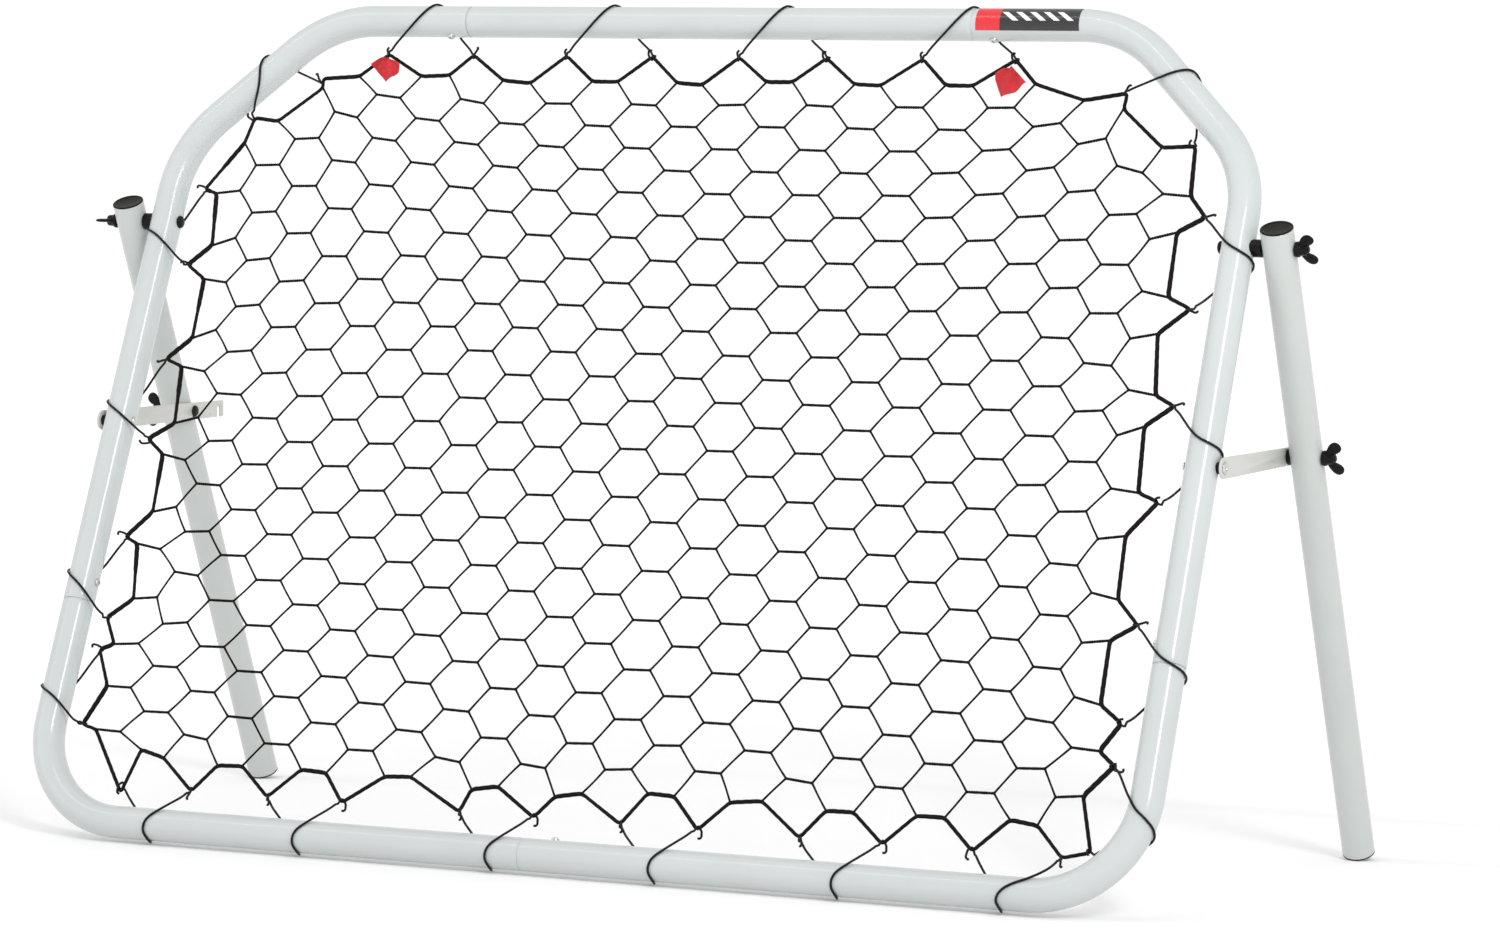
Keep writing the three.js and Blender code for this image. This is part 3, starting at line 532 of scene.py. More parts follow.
# -------- wire clips
# Each starts round a corner of the rope, crosses the tube's front, wraps its outer side and
# comes back behind it to the rope's next corner. Both ends hook over the rope and finish in a
# short tail, or in none. A clip's row holds the places of its ends, (x, up) in mm, the share of
# its way along the tube where it meets the tube, at the tube's front, outer side and back, and
# its two tails: which way along the tube each is turned, and its length as a share of a full one.
LOW_APEX = 37                    # rope's corners lie this far (mm) inside the tube's axis
TOP_APEX = FRAME_H * 1000 - LOW_APEX
SIDE_APEX = HALF_W * 1000 - LOW_APEX
LOW_WAY = (0.36, 0.47, 0.39, 0.70)
TOP_WAY = (0.32, 0.45, 0.50, 0.66)
RIGHT_WAY = (0.34, 0.42, 0.48, 0.59)
CLIPS = [
    ((-29, LOW_APEX), (-109, LOW_APEX), LOW_WAY, (-1, 1), (-1, 1)),
    ((-238, LOW_APEX), (-321, LOW_APEX), LOW_WAY, (-1, 1), (-1, 1)),
    ((-407, LOW_APEX), (-486, LOW_APEX), LOW_WAY, (1, 1), (1, 1)),
    ((-SIDE_APEX, 97), (-SIDE_APEX, 176), (0.30, 0.38, 0.51, 0.55), (1, 0.4), (1, 1)),
    ((-SIDE_APEX, 210), (-SIDE_APEX, 296), (0.33, 0.43, 0.58, 0.61), (1, 0), (1, 1)),
    ((-SIDE_APEX, 402), (-SIDE_APEX, 489), (0.24, 0.33, 0.47, 0.57), (-1, 1), (-1, 1)),
    ((-SIDE_APEX, 593), (-SIDE_APEX, 677), (0.27, 0.36, 0.44, 0.56), (1, 0.9), (1, 1)),
    ((-509.7, 759), (-442, 800), (0.37, 0.52, 0.70, 0.80), (-1, 0.8), (1, 1)),
    ((-366, TOP_APEX), (-268, TOP_APEX), TOP_WAY, (-1, 0.8), (1, 1)),
    ((-162, TOP_APEX), (-66, TOP_APEX), TOP_WAY, (-1, 0.8), (-1, 0.7)),
    ((30, TOP_APEX), (125, TOP_APEX), TOP_WAY, (-1, 0.8), (-1, 0.7)),
    ((228, TOP_APEX), (326, TOP_APEX), TOP_WAY, (-1, 0.8), (-1, 0.7)),
    ((445, 798), (522, 744), (0.25, 0.32, 0.36, 0.70), (-1, 1), (-1, 0)),
    ((SIDE_APEX, 670), (SIDE_APEX, 577), RIGHT_WAY, (-1, 1), (1, 0.7)),
    ((SIDE_APEX, 479), (SIDE_APEX, 384), (0.35, 0.42, 0.46, 0.61), (-1, 1), (-1, 0)),
    ((SIDE_APEX, 263), (SIDE_APEX, 168), RIGHT_WAY, (-1, 1), (-1, 0)),
    ((SIDE_APEX, 127), (SIDE_APEX - 9, 44), (0.39, 0.45, 0.52, 0.74), (1, 1), (1, 0)),
    ((511, LOW_APEX), (423, LOW_APEX), (0.45, 0.66, 0.60, 0.80), (1, 1), (1, 1)),
    ((333, LOW_APEX), (249, LOW_APEX), LOW_WAY, (-1, 1), (-1, 1)),
    ((144, LOW_APEX), (63, LOW_APEX), LOW_WAY, (-1, 1), (-1, 1)),
]
GRIP_SIDE, GRIP_LEVEL = 0.0039, 0.0034       # rope's centre to the wire that hooks round it
WIRE_STEP = 0.0012
WIRE_SOFT = 8                    # points each way over which the wire's way along is smoothed
FRONT_TURN = math.radians(110)    # round the tube from its inner side to where it faces front


def catmull_rom(points, steps):
    """Points along a smooth curve through all but the first and last of `points`."""
    out = []
    for a, b, c, d in zip(points, points[1:], points[2:], points[3:]):
        for k in range(steps):
            t = k / steps
            out.append(0.5 * (2 * b + (c - a) * t + (2 * a - 5 * b + 4 * c - d) * t * t
                              + (3 * b - a - 3 * c + d) * t ** 3))
    out.append(points[-2].copy())
    return out


def hook(apex, grip, face, tail):
    """(inward, through, along) of a hooked end, from its leg to the tip of its tail. face is -1
    where the leg lies in front of the rope."""
    turned_to, length = tail
    shape = [(-1.6, 0.80, -2.0), (-0.6, 0.95, -1.6), (1.0, 0.1, 0.4), (0.1, -1.0, 2.6)]
    if length > 0:
        reach = 1.3 * length
        shape += [(-0.9, -0.9, 3.7), (-1.0 - reach * 0.6, -0.6, 4.4), (-1.0 - reach, -0.3, 3.4),
                  (-1.05 - reach, 0.1, 1.9), (-1.0 - reach, 0.3, 1.2)]
    else:
        shape += [(-0.7, -0.9, 3.2), (-1.1, -0.7, 3.4)]
    points = [Vector((apex + a * grip, face * b * grip, turned_to * c / 1000)) for a, b, c in shape]
    return catmull_rom(points, 6)


def leg_to_tube(start):
    """The angle round the tube at which a straight leg from `start` (inward, through) meets it."""
    return abs(math.atan2(start.y, start.x)) + math.acos(WRAP_R / start.length)


def place_on_frame(spot):
    """The run along the tube and the distance inside its axis of a place (x, up) in mm."""
    x, up = mm(*spot)
    s = nearest(x, up)
    axis_x, axis_up, in_x, in_up = station(s)
    return s, (x - axis_x) * in_x + (up - axis_up) * in_up


def clip_path(start, end, way, tails):
    """The wire's line from the tip of one tail to the tip of the other."""
    (s0, apex0), (s1, apex1) = place_on_frame(start), place_on_frame(end)
    if s1 < s0:
        s1 += LOOP
    grip = GRIP_SIDE if abs(start[0]) > 540 else GRIP_LEVEL
    front, back = hook(apex0, grip, -1, tails[0]), hook(apex1, grip, 1, tails[1])
    angle0, angle1 = leg_to_tube(front[0].xy), leg_to_tube(back[0].xy)
    rows = [Vector((p.x, p.y, s0 + p.z)) for p in reversed(front)]
    keys = [rows[-1].z] + [s0 + (s1 - s0) * share for share in way] + [s1 + back[0].z]
    legs = []                    # straight from the rope's corners to the tube
    for angle, face, leg_end, key in ((angle0, -1, front[0], keys[:2]), (angle1, 1, back[0], keys[5:3:-1])):
        touch = Vector((WRAP_R * math.cos(angle), face * WRAP_R * math.sin(angle)))
        count = max(2, round((leg_end.xy - touch).length / WIRE_STEP))
        leg = []
        for k in range(1, count + 1):
            p = leg_end.xy.lerp(touch, k / count)
            leg.append(Vector((p.x, p.y, key[1] + (key[0] - key[1]) * (1 - k / count))))
        legs.append(leg)
    wrap = []                    # round the tube's front, outer side and back
    angles = (angle0, FRONT_TURN, math.pi, 2 * math.pi - angle1)
    for first, last, here, there in zip(angles, angles[1:], keys[1:], keys[2:]):
        count = max(4, round(abs(last - first) * WRAP_R / WIRE_STEP))
        for k in range(1, count + 1):
            t = k / count
            angle = first + (last - first) * t
            wrap.append(Vector((WRAP_R * math.cos(angle), -WRAP_R * math.sin(angle),
                                here + (there - here) * t)))
    hooked = len(rows)
    rows += legs[0] + wrap + legs[1][::-1][1:] + [Vector((p.x, p.y, s1 + p.z)) for p in back]
    runs = [row.z for row in rows]
    for i in range(hooked, len(rows) - len(back)):
        near = runs[i - WIRE_SOFT:i + WIRE_SOFT + 1]
        rows[i].z = sum(near) / len(near)
    return [beside(row.z, row.x, row.y) for row in rows]


for number, (start, end, way, *tails) in enumerate(CLIPS, 1):
    path = clip_path(start, end, way, tails)
    radii = [WIRE_R * 0.75] + [WIRE_R] * (len(path) - 2) + [WIRE_R * 0.75]
    wire = sweep(path, radii, 10), capped(len(path), 10)
    piece(f"clip_wire_{number:02d}", wire, BLACK_WIRE, "frame", f"net_clip_{number:02d}")


# -------- the net
# The mesh is columns of short braided strands, (column, row), whose two ends fork to the next
# columns. Its edge is reeved on the border rope, which the clips pull outwards at its corners.
# Sizes of the mesh, and places and lengths on it, are in mm until it is settled.
COLUMNS = 11                     # on each side of the middle one
PITCH = 46.5
ROW = 49.1
FIRST_ROW = 66                   # up the frame to the lowest strands
STRAND = 27.5
TENSION = 0.93                   # natural length of the mesh as a share of its drawn length
SETTLE_STEPS = 3000
DAMPING = 0.93                   # speed that a point keeps at each step
HASTE = 0.12                     # speed that it gains from a unit of pull
SLACK = 0.15                     # share of its stiffness with which a cord resists being shortened


def top_row(column):
    """The last row of a column; the cut corners shorten the outermost."""
    tops = {11: 13, 10: 14, 9: 14}
    return tops.get(abs(column), 15 if column % 2 == 0 else 14)


def net_graph():
    """Mesh ends {(column, row, side): (x, up)}, those that meet, held points, and the rope's route."""
    ends = {}
    for column in range(-COLUMNS, COLUMNS + 1):
        for row in range(top_row(column) + 1):
            up = FIRST_ROW + ROW * (row + (0.5 if column % 2 else 0))
            for side in (-1, 1):
                ends[column, row, side] = (PITCH * column + side * STRAND / 2, up)
    meeting = {(8, 15, 1): (9, 14, -1), (10, 14, 1): (11, 13, -1), (-9, 14, -1): (-10, 14, 1)}
    held = {(9, 14, 1): (447, 797), (11, 13, 1): (525, 743), (-8, 15, -1): (-437, 803),
            (-10, 14, -1): (-507, 758), (-11, 13, -1): (-SIDE_APEX, 677)}
    for column, x in zip(range(-7, 8, 2), (-366, -268, -162, -66, 30, 125, 228, 326)):
        held["top", column] = (x, TOP_APEX)
    low = (-486, -407, -321, -238, -109, -29, 63, 144, 249, 333, 423, 511)
    for column, x in zip(range(-11, 12, 2), low):
        held["low", column] = (x, LOW_APEX if column > -11 else 30)
    held["low", 12] = (SIDE_APEX - 9, 44)
    for i, up in enumerate((97, 176, 210, 296, 402, 489, 593)):
        held["left", i] = (-SIDE_APEX, up)
    for i, up in enumerate((127, 168, 263, 384, 479, 577, 670)):
        held["right", i] = (SIDE_APEX, up)
    rope = []
    for column in range(0, -11, -2):
        rope += [(column, 0, 1), (column, 0, -1), ("low", column - 1)]
    for i, row in enumerate((0, 1, 2)):
        rope += [(-11, row, -1), ("left", i)]
    for i, row in enumerate(range(3, 11, 2)):
        rope += [(-11, row, -1), (-11, row + 1, -1), ("left", i + 3)]
    rope += [(-11, 11, -1), (-11, 12, -1), (-11, 13, -1), (-11, 13, 1), (-10, 14, -1), (-10, 14, 1),
             (-9, 14, 1), (-8, 15, -1), (-8, 15, 1)]
    for column in range(-7, 7, 2):
        rope += [("top", column), (column + 1, 15, -1), (column + 1, 15, 1)]
    rope += [("top", 7), (8, 15, -1), (9, 14, -1), (9, 14, 1), (10, 14, -1), (11, 13, -1), (11, 13, 1),
             (11, 12, 1)]
    for i, row in zip(range(6, 1, -1), range(11, 2, -2)):
        rope += [("right", i), (11, row, 1), (11, row - 1, 1)]
    rope += [("right", 1), (11, 1, 1), ("right", 0), (11, 0, 1), ("low", 12)]
    for column in range(10, 0, -2):
        rope += [("low", column + 1), (column, 0, 1), (column, 0, -1)]
    rope.append(("low", 1))
    return ends, meeting, held, rope


# Lengths of the rope (mm) just before and just after each corner that a clip holds, clockwise.
PULLS = {
    ("low", -1): (28, 52), ("low", -3): (24, 67), ("low", -5): (50, 37), ("low", -7): (43, 45),
    ("low", -9): (36, 50), ("low", -11): (47, 77),
    ("left", 0): (16, 45), ("left", 1): (41, 16), ("left", 2): (31, 33), ("left", 3): (16, 37),
    ("left", 4): (26, 32), ("left", 5): (21, 34), ("left", 6): (27, 32),
    ("top", -7): (38, 49), ("top", -5): (32, 48), ("top", -3): (46, 44), ("top", -1): (43, 43),
    ("top", 1): (46, 43), ("top", 3): (41, 44), ("top", 5): (49, 40), ("top", 7): (49, 35),
    ("right", 6): (27, 30), ("right", 5): (26, 38), ("right", 4): (22, 33), ("right", 3): (22, 43),
    ("right", 2): (33, 29), ("right", 1): (28, 32), ("right", 0): (21, 39),
    ("low", 12): (55, 31), ("low", 11): (31, 40), ("low", 9): (45, 44), ("low", 7): (41, 44),
    ("low", 5): (35, 55), ("low", 3): (40, 43), ("low", 1): (39, 53),
}
# Rope from one end of the mesh to its neighbour clockwise, where it isn't the usual length.
ROPE_RUNS = {
    (-11, 3, -1): 59, (-11, 9, -1): 65, (-11, 11, -1): 58, (-11, 12, -1): 15, (-11, 13, -1): 62,
    (-11, 13, 1): 28, (-10, 14, 1): 58, (-9, 14, 1): 10, (-8, 15, -1): 41, (-6, 15, -1): 31,
    (-4, 15, -1): 31, (8, 15, -1): 55, (9, 14, -1): 43, (9, 14, 1): 16, (10, 14, -1): 60,
    (11, 13, -1): 33, (11, 13, 1): 51, (11, 11, 1): 66, (11, 7, 1): 66, (4, 0, 1): 32,
}
SIDE_RUN = 62                    # usual length up the sides


def rope_run(rope, i):
    """Natural length of the rope from its i-th point to the next."""
    a, b = rope[i], rope[(i + 1) % len(rope)]
    if a in PULLS:
        return PULLS[a][1]
    if b in PULLS:
        return PULLS[b][0]
    return ROPE_RUNS.get(a, SIDE_RUN if abs(a[0]) == COLUMNS else STRAND)


def settle_net():
    """Lets the mesh and the rope pull each other into balance between the clips."""
    ends, meeting, held, rope = net_graph()
    names = [name for name in ends if name not in meeting] + [name for name in held if len(name) == 2]
    index = {name: i for i, name in enumerate(names)}
    index.update({name: index[other] for name, other in meeting.items()})
    place = np.array([held.get(name) or ends[name] for name in names], float)
    fixed = np.array([name in held for name in names])
    springs = {}

    def spring(a, b, kind, length, stiffness):
        key = tuple(sorted((index[a], index[b])))
        if key[0] != key[1] and key not in springs:
            springs[key] = (kind, length, stiffness)

    for i, name in enumerate(rope):
        spring(name, rope[(i + 1) % len(rope)], "rope", rope_run(rope, i), 4.0)
    fork = math.hypot(PITCH - STRAND, ROW / 2) * TENSION
    for column, row, side in ends:
        if side < 0:
            continue
        spring((column, row, -1), (column, row, 1), "strand", STRAND * TENSION, 1.0)
        for other in (row, row + 1 if column % 2 else row - 1):
            if (column + 1, other, -1) in ends:
                spring((column, row, 1), (column + 1, other, -1), "fork", fork, 0.6)
    pairs = np.array(list(springs))
    length = np.array([spring[1] for spring in springs.values()], float)
    stiffness = np.array([spring[2] for spring in springs.values()])
    speed = np.zeros_like(place)
    for _ in range(SETTLE_STEPS):
        across = place[pairs[:, 1]] - place[pairs[:, 0]]
        now = np.linalg.norm(across, axis=1)
        pull = stiffness * (now - length)
        pull = np.where(pull < 0, pull * SLACK, pull)
        force = across / now[:, None] * pull[:, None]
        total = np.zeros_like(place)
        np.add.at(total, pairs[:, 0], force)
        np.add.at(total, pairs[:, 1], -force)
        total[fixed] = 0
        speed = speed * DAMPING + total * HASTE
        place = place + speed
    kinds = [spring[0] for spring in springs.values()]
    return place / 1000, pairs, kinds, [index[name] for name in rope], fixed, rope


NET_PLACE, NET_PAIRS, NET_KINDS, ROPE_ROUTE, NET_FIXED, ROPE_NAMES = settle_net()
CORD_R = 0.00105                 # each of the two cords that braid into a strand
BRAID_TURNS = 5.5
KNOT_R = 0.00165
random.seed(7)                   # strands stand a little before or behind each other
SWAY = {i: random.uniform(-0.0006, 0.0006) for i in range(len(NET_PLACE))}


def net_point(i):
    return on_frame(NET_PLACE[i][0], NET_PLACE[i][1], 0 if NET_FIXED[i] else SWAY[i])


def braid(a, b, steps=26, sides=6):
    """Two cords twisted round each other from a to b."""
    a, b = Vector(a), Vector(b)
    ahead = (b - a).normalized()
    side = ahead.orthogonal().normalized()
    other = ahead.cross(side)
    parts = []
    for phase in (0, math.pi):
        points = []
        for k in range(steps + 1):
            t = k / steps
            angle = phase + 2 * math.pi * BRAID_TURNS * t
            open_out = CORD_R * (0.42 + 0.12 * math.sin(math.pi * t))
            offset = side * math.cos(angle) + other * math.sin(angle)
            points.append(a.lerp(b, t) + offset * open_out)
        parts.append((sweep(points, CORD_R, sides), capped(steps + 1, sides)))
    return join(*parts)


def fork_cord(a, b, rng):
    """One slack cord from a to b, with a slight bow."""
    a, b = Vector(a), Vector(b)
    ahead = (b - a).normalized()
    lean = FRAME_AXES.to_3x3() @ Vector((0, 1, 0))
    bow = ahead.cross(lean) * rng.uniform(-0.0005, 0.0005) + lean * rng.uniform(-0.0004, 0.0004)
    steps = 6
    points = [a.lerp(b, k / steps) + bow * math.sin(math.pi * k / steps) for k in range(steps + 1)]
    radii = [CORD_R * (1.12 - 0.16 * math.sin(math.pi * k / steps)) for k in range(steps + 1)]
    return sweep(points, radii, 7), capped(steps + 1, 7)


def knot(i):
    """The pinch where a strand's cords part."""
    centre = net_point(i)
    verts = []
    for k in range(5):
        lat = math.pi * (k + 0.5) / 5
        verts += [centre + Vector((math.sin(lat) * c, math.sin(lat) * s, math.cos(lat))) * KNOT_R
                  for _, c, s in circle(8)]
    return verts, capped(5, 8)


def make_net():
    rng = random.Random(11)
    parts = []
    tied = set()
    for (a, b), kind in zip(NET_PAIRS, NET_KINDS):
        if kind == "strand":
            parts.append(braid(net_point(a), net_point(b)))
        elif kind == "fork":
            parts.append(fork_cord(net_point(a), net_point(b), rng))
        if kind != "rope":
            tied |= {a, b}
    parts += [knot(i) for i in sorted(tied)]
    piece("net_mesh", join(*parts), NET_CORD, "frame", "net")


make_net()


# -------- border rope
ROPE_TURN = 0.0045               # rope's corners are rounded over this length
SWELLS, SWELL_STEP = 97, 0.035   # how many uneven thicknesses it runs through, and how far apart
LAY_LENGTH = 0.026               # one turn of its strands
# Radii (mm) of the rope along its level runs, beside the mesh's strands, and on the two sides
# before a clip, after it and along the straight runs between.
LEVEL_LEG, LEVEL_STRAND = 1.8, 2.15
SIDE_RADII = {-1: {"before": 1.75, "after": 2.4, "from": 1.75, "to": 2.3},
              1: {"before": 1.95, "after": 2.35, "from": 2.1, "to": 2.2}}


def rope_radii(i):
    """Radius of the rope where it leaves its i-th point and where it reaches the next. It is
    doubled on the sides after each clip, and halfway up the left side's straight runs."""
    a, b = ROPE_NAMES[i], ROPE_NAMES[(i + 1) % len(ROPE_NAMES)]
    if a[0] in ("left", "right"):
        start = end = SIDE_RADII[-1 if a[0] == "left" else 1]["after"]
    elif b[0] in ("left", "right"):
        start = end = SIDE_RADII[-1 if b[0] == "left" else 1]["before"]
    elif len(a) == len(b) == 3 and a[0] == b[0] and abs(a[0]) == COLUMNS:
        side = SIDE_RADII[1 if a[0] > 0 else -1]
        start, end = side["from"], side["to"]
    elif a[:2] == b[:2]:
        start = end = LEVEL_STRAND
    else:
        start = end = LEVEL_LEG
    return start / 1000, end / 1000


def rope_path(spacing=0.0022):
    """The rope's line through its corners, each turned on a small radius, with its radius."""
    corners = [on_frame(*NET_PLACE[i]) for i in ROPE_ROUTE]
    count = len(corners)
    points = []
    for i, corner in enumerate(corners):
        before, after = corners[i - 1], corners[(i + 1) % count]
        a = corner + (before - corner).normalized() * min(ROPE_TURN, (before - corner).length * 0.4)
        b = corner + (after - corner).normalized() * min(ROPE_TURN, (after - corner).length * 0.4)
        reached, left = rope_radii(i - 1)[1], rope_radii(i)[0]
        for k in range(5):
            t = k / 4
            where = a * (1 - t) ** 2 + corner * (2 * t * (1 - t)) + b * t ** 2
            points.append((where, reached + (left - reached) * t))
    even = []
    for i, (p, r) in enumerate(points):
        q, next_r = points[(i + 1) % len(points)]
        steps = max(1, round((q - p).length / spacing))
        for k in range(steps):
            t = k / steps
            change = min(max((t - 0.42) / 0.16, 0), 1)       # in the middle of the run
            even.append((p.lerp(q, t), r + (next_r - r) * change))
    return even


def make_rope():
    path = rope_path()
    runs = [0.0]
    for (a, _), (b, _) in zip(path, path[1:]):
        runs.append(runs[-1] + (b - a).length)
    rng = random.Random(5)
    swell = [rng.uniform(-1, 1) for _ in range(SWELLS)]

    def uneven(run):
        i, t = divmod(run / SWELL_STEP, 1)
        t = t * t * (3 - 2 * t)
        return 1 + 0.06 * (swell[int(i) % SWELLS] * (1 - t) + swell[(int(i) + 1) % SWELLS] * t)

    turns = round(runs[-1] / LAY_LENGTH)

    def lay(i, angle):
        return 1 + 0.05 * math.cos(3 * (angle - 2 * math.pi * turns * i / len(path)))

    radii = [radius * uneven(run) for (_, radius), run in zip(path, runs)]
    normal = FRAME_AXES.to_3x3() @ Vector((0, -1, 0))
    verts = sweep([p for p, _ in path], radii, 15, lay, normal)
    piece("rope_border", (verts, ring_faces(len(path), 15, closed=True)), ROPE_CORD, "frame",
          "border_rope")


make_rope()


# -------- label and cloth tags
LABEL_START, LABEL_LENGTH = 0.283, 0.108
LABEL_FROM, LABEL_TO = math.radians(-43), math.radians(62)


def make_label():
    """Thin film wrapped on the front and top of the bar, from below its middle to its crown."""
    long_steps, round_steps = 36, 18
    verts, uvs, faces = [], [], []
    for radius in (TUBE_R + 0.0003, TUBE_R + 0.0001):
        for i in range(long_steps + 1):
            for j in range(round_steps + 1):
                u, v = i / long_steps, j / round_steps
                angle = LABEL_FROM + (LABEL_TO - LABEL_FROM) * v
                verts.append(on_frame(LABEL_START + LABEL_LENGTH * u, FRAME_H + radius * math.sin(angle),
                                      -radius * math.cos(angle)))
                uvs.append((u, v))
    across = round_steps + 1
    sheet_size = across * (long_steps + 1)
    for layer in (0, 1):
        for i in range(long_steps):
            for j in range(round_steps):
                a = layer * sheet_size + i * across + j
                faces.append((a, a + 1, a + across + 1, a + across))
    rim = list(range(across)) + [i * across + round_steps for i in range(1, long_steps + 1)]
    rim += [long_steps * across + j for j in range(round_steps - 1, -1, -1)]
    rim += [i * across for i in range(long_steps - 1, 0, -1)]
    for a, b in zip(rim, rim[1:] + rim[:1]):
        faces.append((a, b, b + sheet_size, a + sheet_size))
    piece("label_film", (verts, faces), label_print(), "frame", "label_band", uvs)


make_label()


PLEATS, PLEAT_DEPTH = 11, 1.5    # folds in a full turn round the knot, and their depth in mm
TAG_FRONT, TAG_THICK = 5.2, 0.9  # mm in front of the rope's middle, and from face to face
TAG_RADIUS = 22                  # mm from a tag's centre to about its farthest corner
WEAVE_REPEAT = 8                 # lengths of the weave's pattern space in a metre


def cloth_tag(name, node, outline, knot_at, bulge):
    """A scrap of woven tape hanging under a corner of the rope, gathered at knot_at so that
    pleats spread from there. outline and knot_at are (x, up) in mm."""
    points = [Vector(p) for p in outline]
    centre = sum(points, Vector((0, 0))) / len(points)
    edge = []
    for a, b in zip(points, points[1:] + points[:1]):
        edge += [a.lerp(b, k / 6) for k in range(6)]
    rings = 7
    verts, uvs = [], []
    for face in (0, 1):
        for i in range(rings, 0, -1):
            for p in edge:
                q = centre.lerp(p, i / rings)
                reach = (q - centre).length / TAG_RADIUS
                fan = math.atan2(q.x - knot_at[0], knot_at[1] - q.y)
                fold = PLEAT_DEPTH * math.sin(fan * PLEATS + bulge) * (0.5 + reach)
                sink = -TAG_FRONT + fold + bulge * 1.2 * (1 - reach)
                verts.append(on_frame(*mm(q.x, q.y, sink + TAG_THICK * face)))
                uvs.append((q.x / 1000 * WEAVE_REPEAT, q.y / 1000 * WEAVE_REPEAT))
    count = len(edge)
    faces = []
    for face in (0, 1):
        start = face * rings * count
        faces += ring_faces(rings, count, start)
        inner = start + (rings - 1) * count
        faces.append(tuple(range(inner, inner + count)))
    for j in range(count):
        k = (j + 1) % count
        faces.append((j, k, k + rings * count, j + rings * count))
    tag = piece(name, (verts, faces), RED_TAPE, "frame", node, uvs)


cloth_tag("red_tag_left", "left_tag",
          [(-368.8, 826.6), (-381, 817), (-371, 808), (-361.3, 799.2), (-352, 805), (-349.2, 809.4),
           (-348, 816.4), (-348.8, 819.5), (-358, 823)], (-366, 831), 0.6)
cloth_tag("red_tag_right", "right_tag",
          [(309.5, 815), (311, 806), (315, 797), (320, 789), (332, 795), (343, 805), (334, 813.5),
           (325, 822), (317, 819)], (326, 831), -0.7)


# -------- rear legs
# From the pivot down the leg to its end, whose lowest edge touches the floor.
FOOT_DOWN = (PIVOT.z - (TUBE_R - 0.0005) * math.sin(LEG_ANGLE)) / math.cos(LEG_ANGLE)
CAP_T = 0.0012
CAP_PLUG = 0.013


def leg(side, facing):
    """The leg tube and its two caps; Z of its axes runs up the leg from its pivot."""
    axes = Matrix.Translation((LEG_X * facing, *PIVOT.yz)) @ Matrix.Rotation(LEG_ANGLE, 4, "X")
    bottom, top = -FOOT_DOWN + CAP_T, LEG_OVER - CAP_T
    inner = TUBE_R - TUBE_WALL
    skin = [(inner, bottom + 0.0003), (TUBE_R - 0.0004, bottom + 0.0003), (TUBE_R, bottom + 0.0008),
            (TUBE_R, -0.5), (TUBE_R, -0.25), (TUBE_R, -0.1), (TUBE_R, top - 0.0008),
            (TUBE_R - 0.0004, top - 0.0003), (inner, top - 0.0003)]
    body = f"{side}_leg"
    piece(f"{side}_leg_skin", turned(skin, ROUND, axes), LEG_PAINT, body, f"{side}_leg_tube")
    plug = [(0, -CAP_PLUG), (inner - 0.0004, -CAP_PLUG), (inner - 0.0004, -CAP_T), (TUBE_R, -CAP_T),
            (TUBE_R, -0.0005)]
    dish = [(TUBE_R - 0.0006, 0), (TUBE_R - 0.0022, 0), (TUBE_R - 0.0034, -0.0006), (0.005, -0.0010),
            (0, -0.0010)]
    sole = [(TUBE_R - 0.0005, 0), (TUBE_R - 0.004, 0), (TUBE_R - 0.005, -0.0005), (0, -0.0005)]
    over = axes @ Matrix.Translation((0, 0, LEG_OVER))
    under = axes @ Matrix.Translation((0, 0, -FOOT_DOWN)) @ Matrix.Rotation(math.pi, 4, "X")
    for end, face, radius, place in (("top", dish, 0.0004, over), ("foot", sole, 0.0003, under)):
        cap = turned(rounded(plug + face, radius), ROUND, place)
        piece(f"{side}_{end}_cap", cap, CAP_PLASTIC, body, f"{side}_leg_{end}_cap")


# -------- fasteners
# Distances out from the middle plane: the tubes' inner and outer sides and the strap's outer face.
FRAME_IN = HALF_W - TUBE_R
LEG_IN, LEG_OUT = LEG_X - TUBE_R, LEG_X + TUBE_R
STRAP_OUT = STRAP_IN + STRAP_T
BOLT_R = 0.003
SHANK_R = BOLT_R - 0.0001
THREAD_END = LEG_OUT + 0.0137
# How far each side's upper and lower wing nuts are turned.
WING_TURNS = {"left": (math.pi / 2, 0.0), "right": (math.radians(40), math.radians(28))}


def saddle(radius, hole, tube_x, lean, far_x, axes, sides=40):
    """A sleeve whose near end is hollowed to sit on a tube at tube_x that leans by `lean`, and
    whose far end is flat at far_x. Z of `axes` runs along it."""
    verts = []
    for r, far in ((hole, 0), (radius, 0), (radius, 0.35), (radius, 0.65), (radius, 1), (hole, 1)):
        for _, c, s in circle(sides):
            x, y = r * c, r * s
            offset = y * math.cos(lean) + x * math.sin(lean)
            near = tube_x + math.copysign(math.sqrt(TUBE_R ** 2 - offset ** 2), far_x - tube_x)
            near += math.copysign(0.0002, far_x - tube_x)
            verts.append(axes @ Vector((x, y, near + (far_x - near) * far)))
    return verts, ring_faces(6, sides, closed=True)


def dome_head(radius, height, at):
    """A domed bolt head whose flat side lies at `at` and whose dome faces inwards."""
    shape = [(0, height)]
    for k in range(1, 9):
        angle = math.pi / 2 * k / 8
        shape.append((radius * math.sin(angle), height * math.cos(angle) ** 0.8))
    shape += [(radius * 0.97, -0.0004), (0, -0.0004)]
    return [(r, at - d) for r, d in shape]


def rod(radius, start, end):
    """Profile of a round rod whose far end is chamfered."""
    chamfer = min(0.0006, radius * 0.3)
    return [(0, start), (radius, start), (radius, end - chamfer), (radius - chamfer, end), (0, end)]


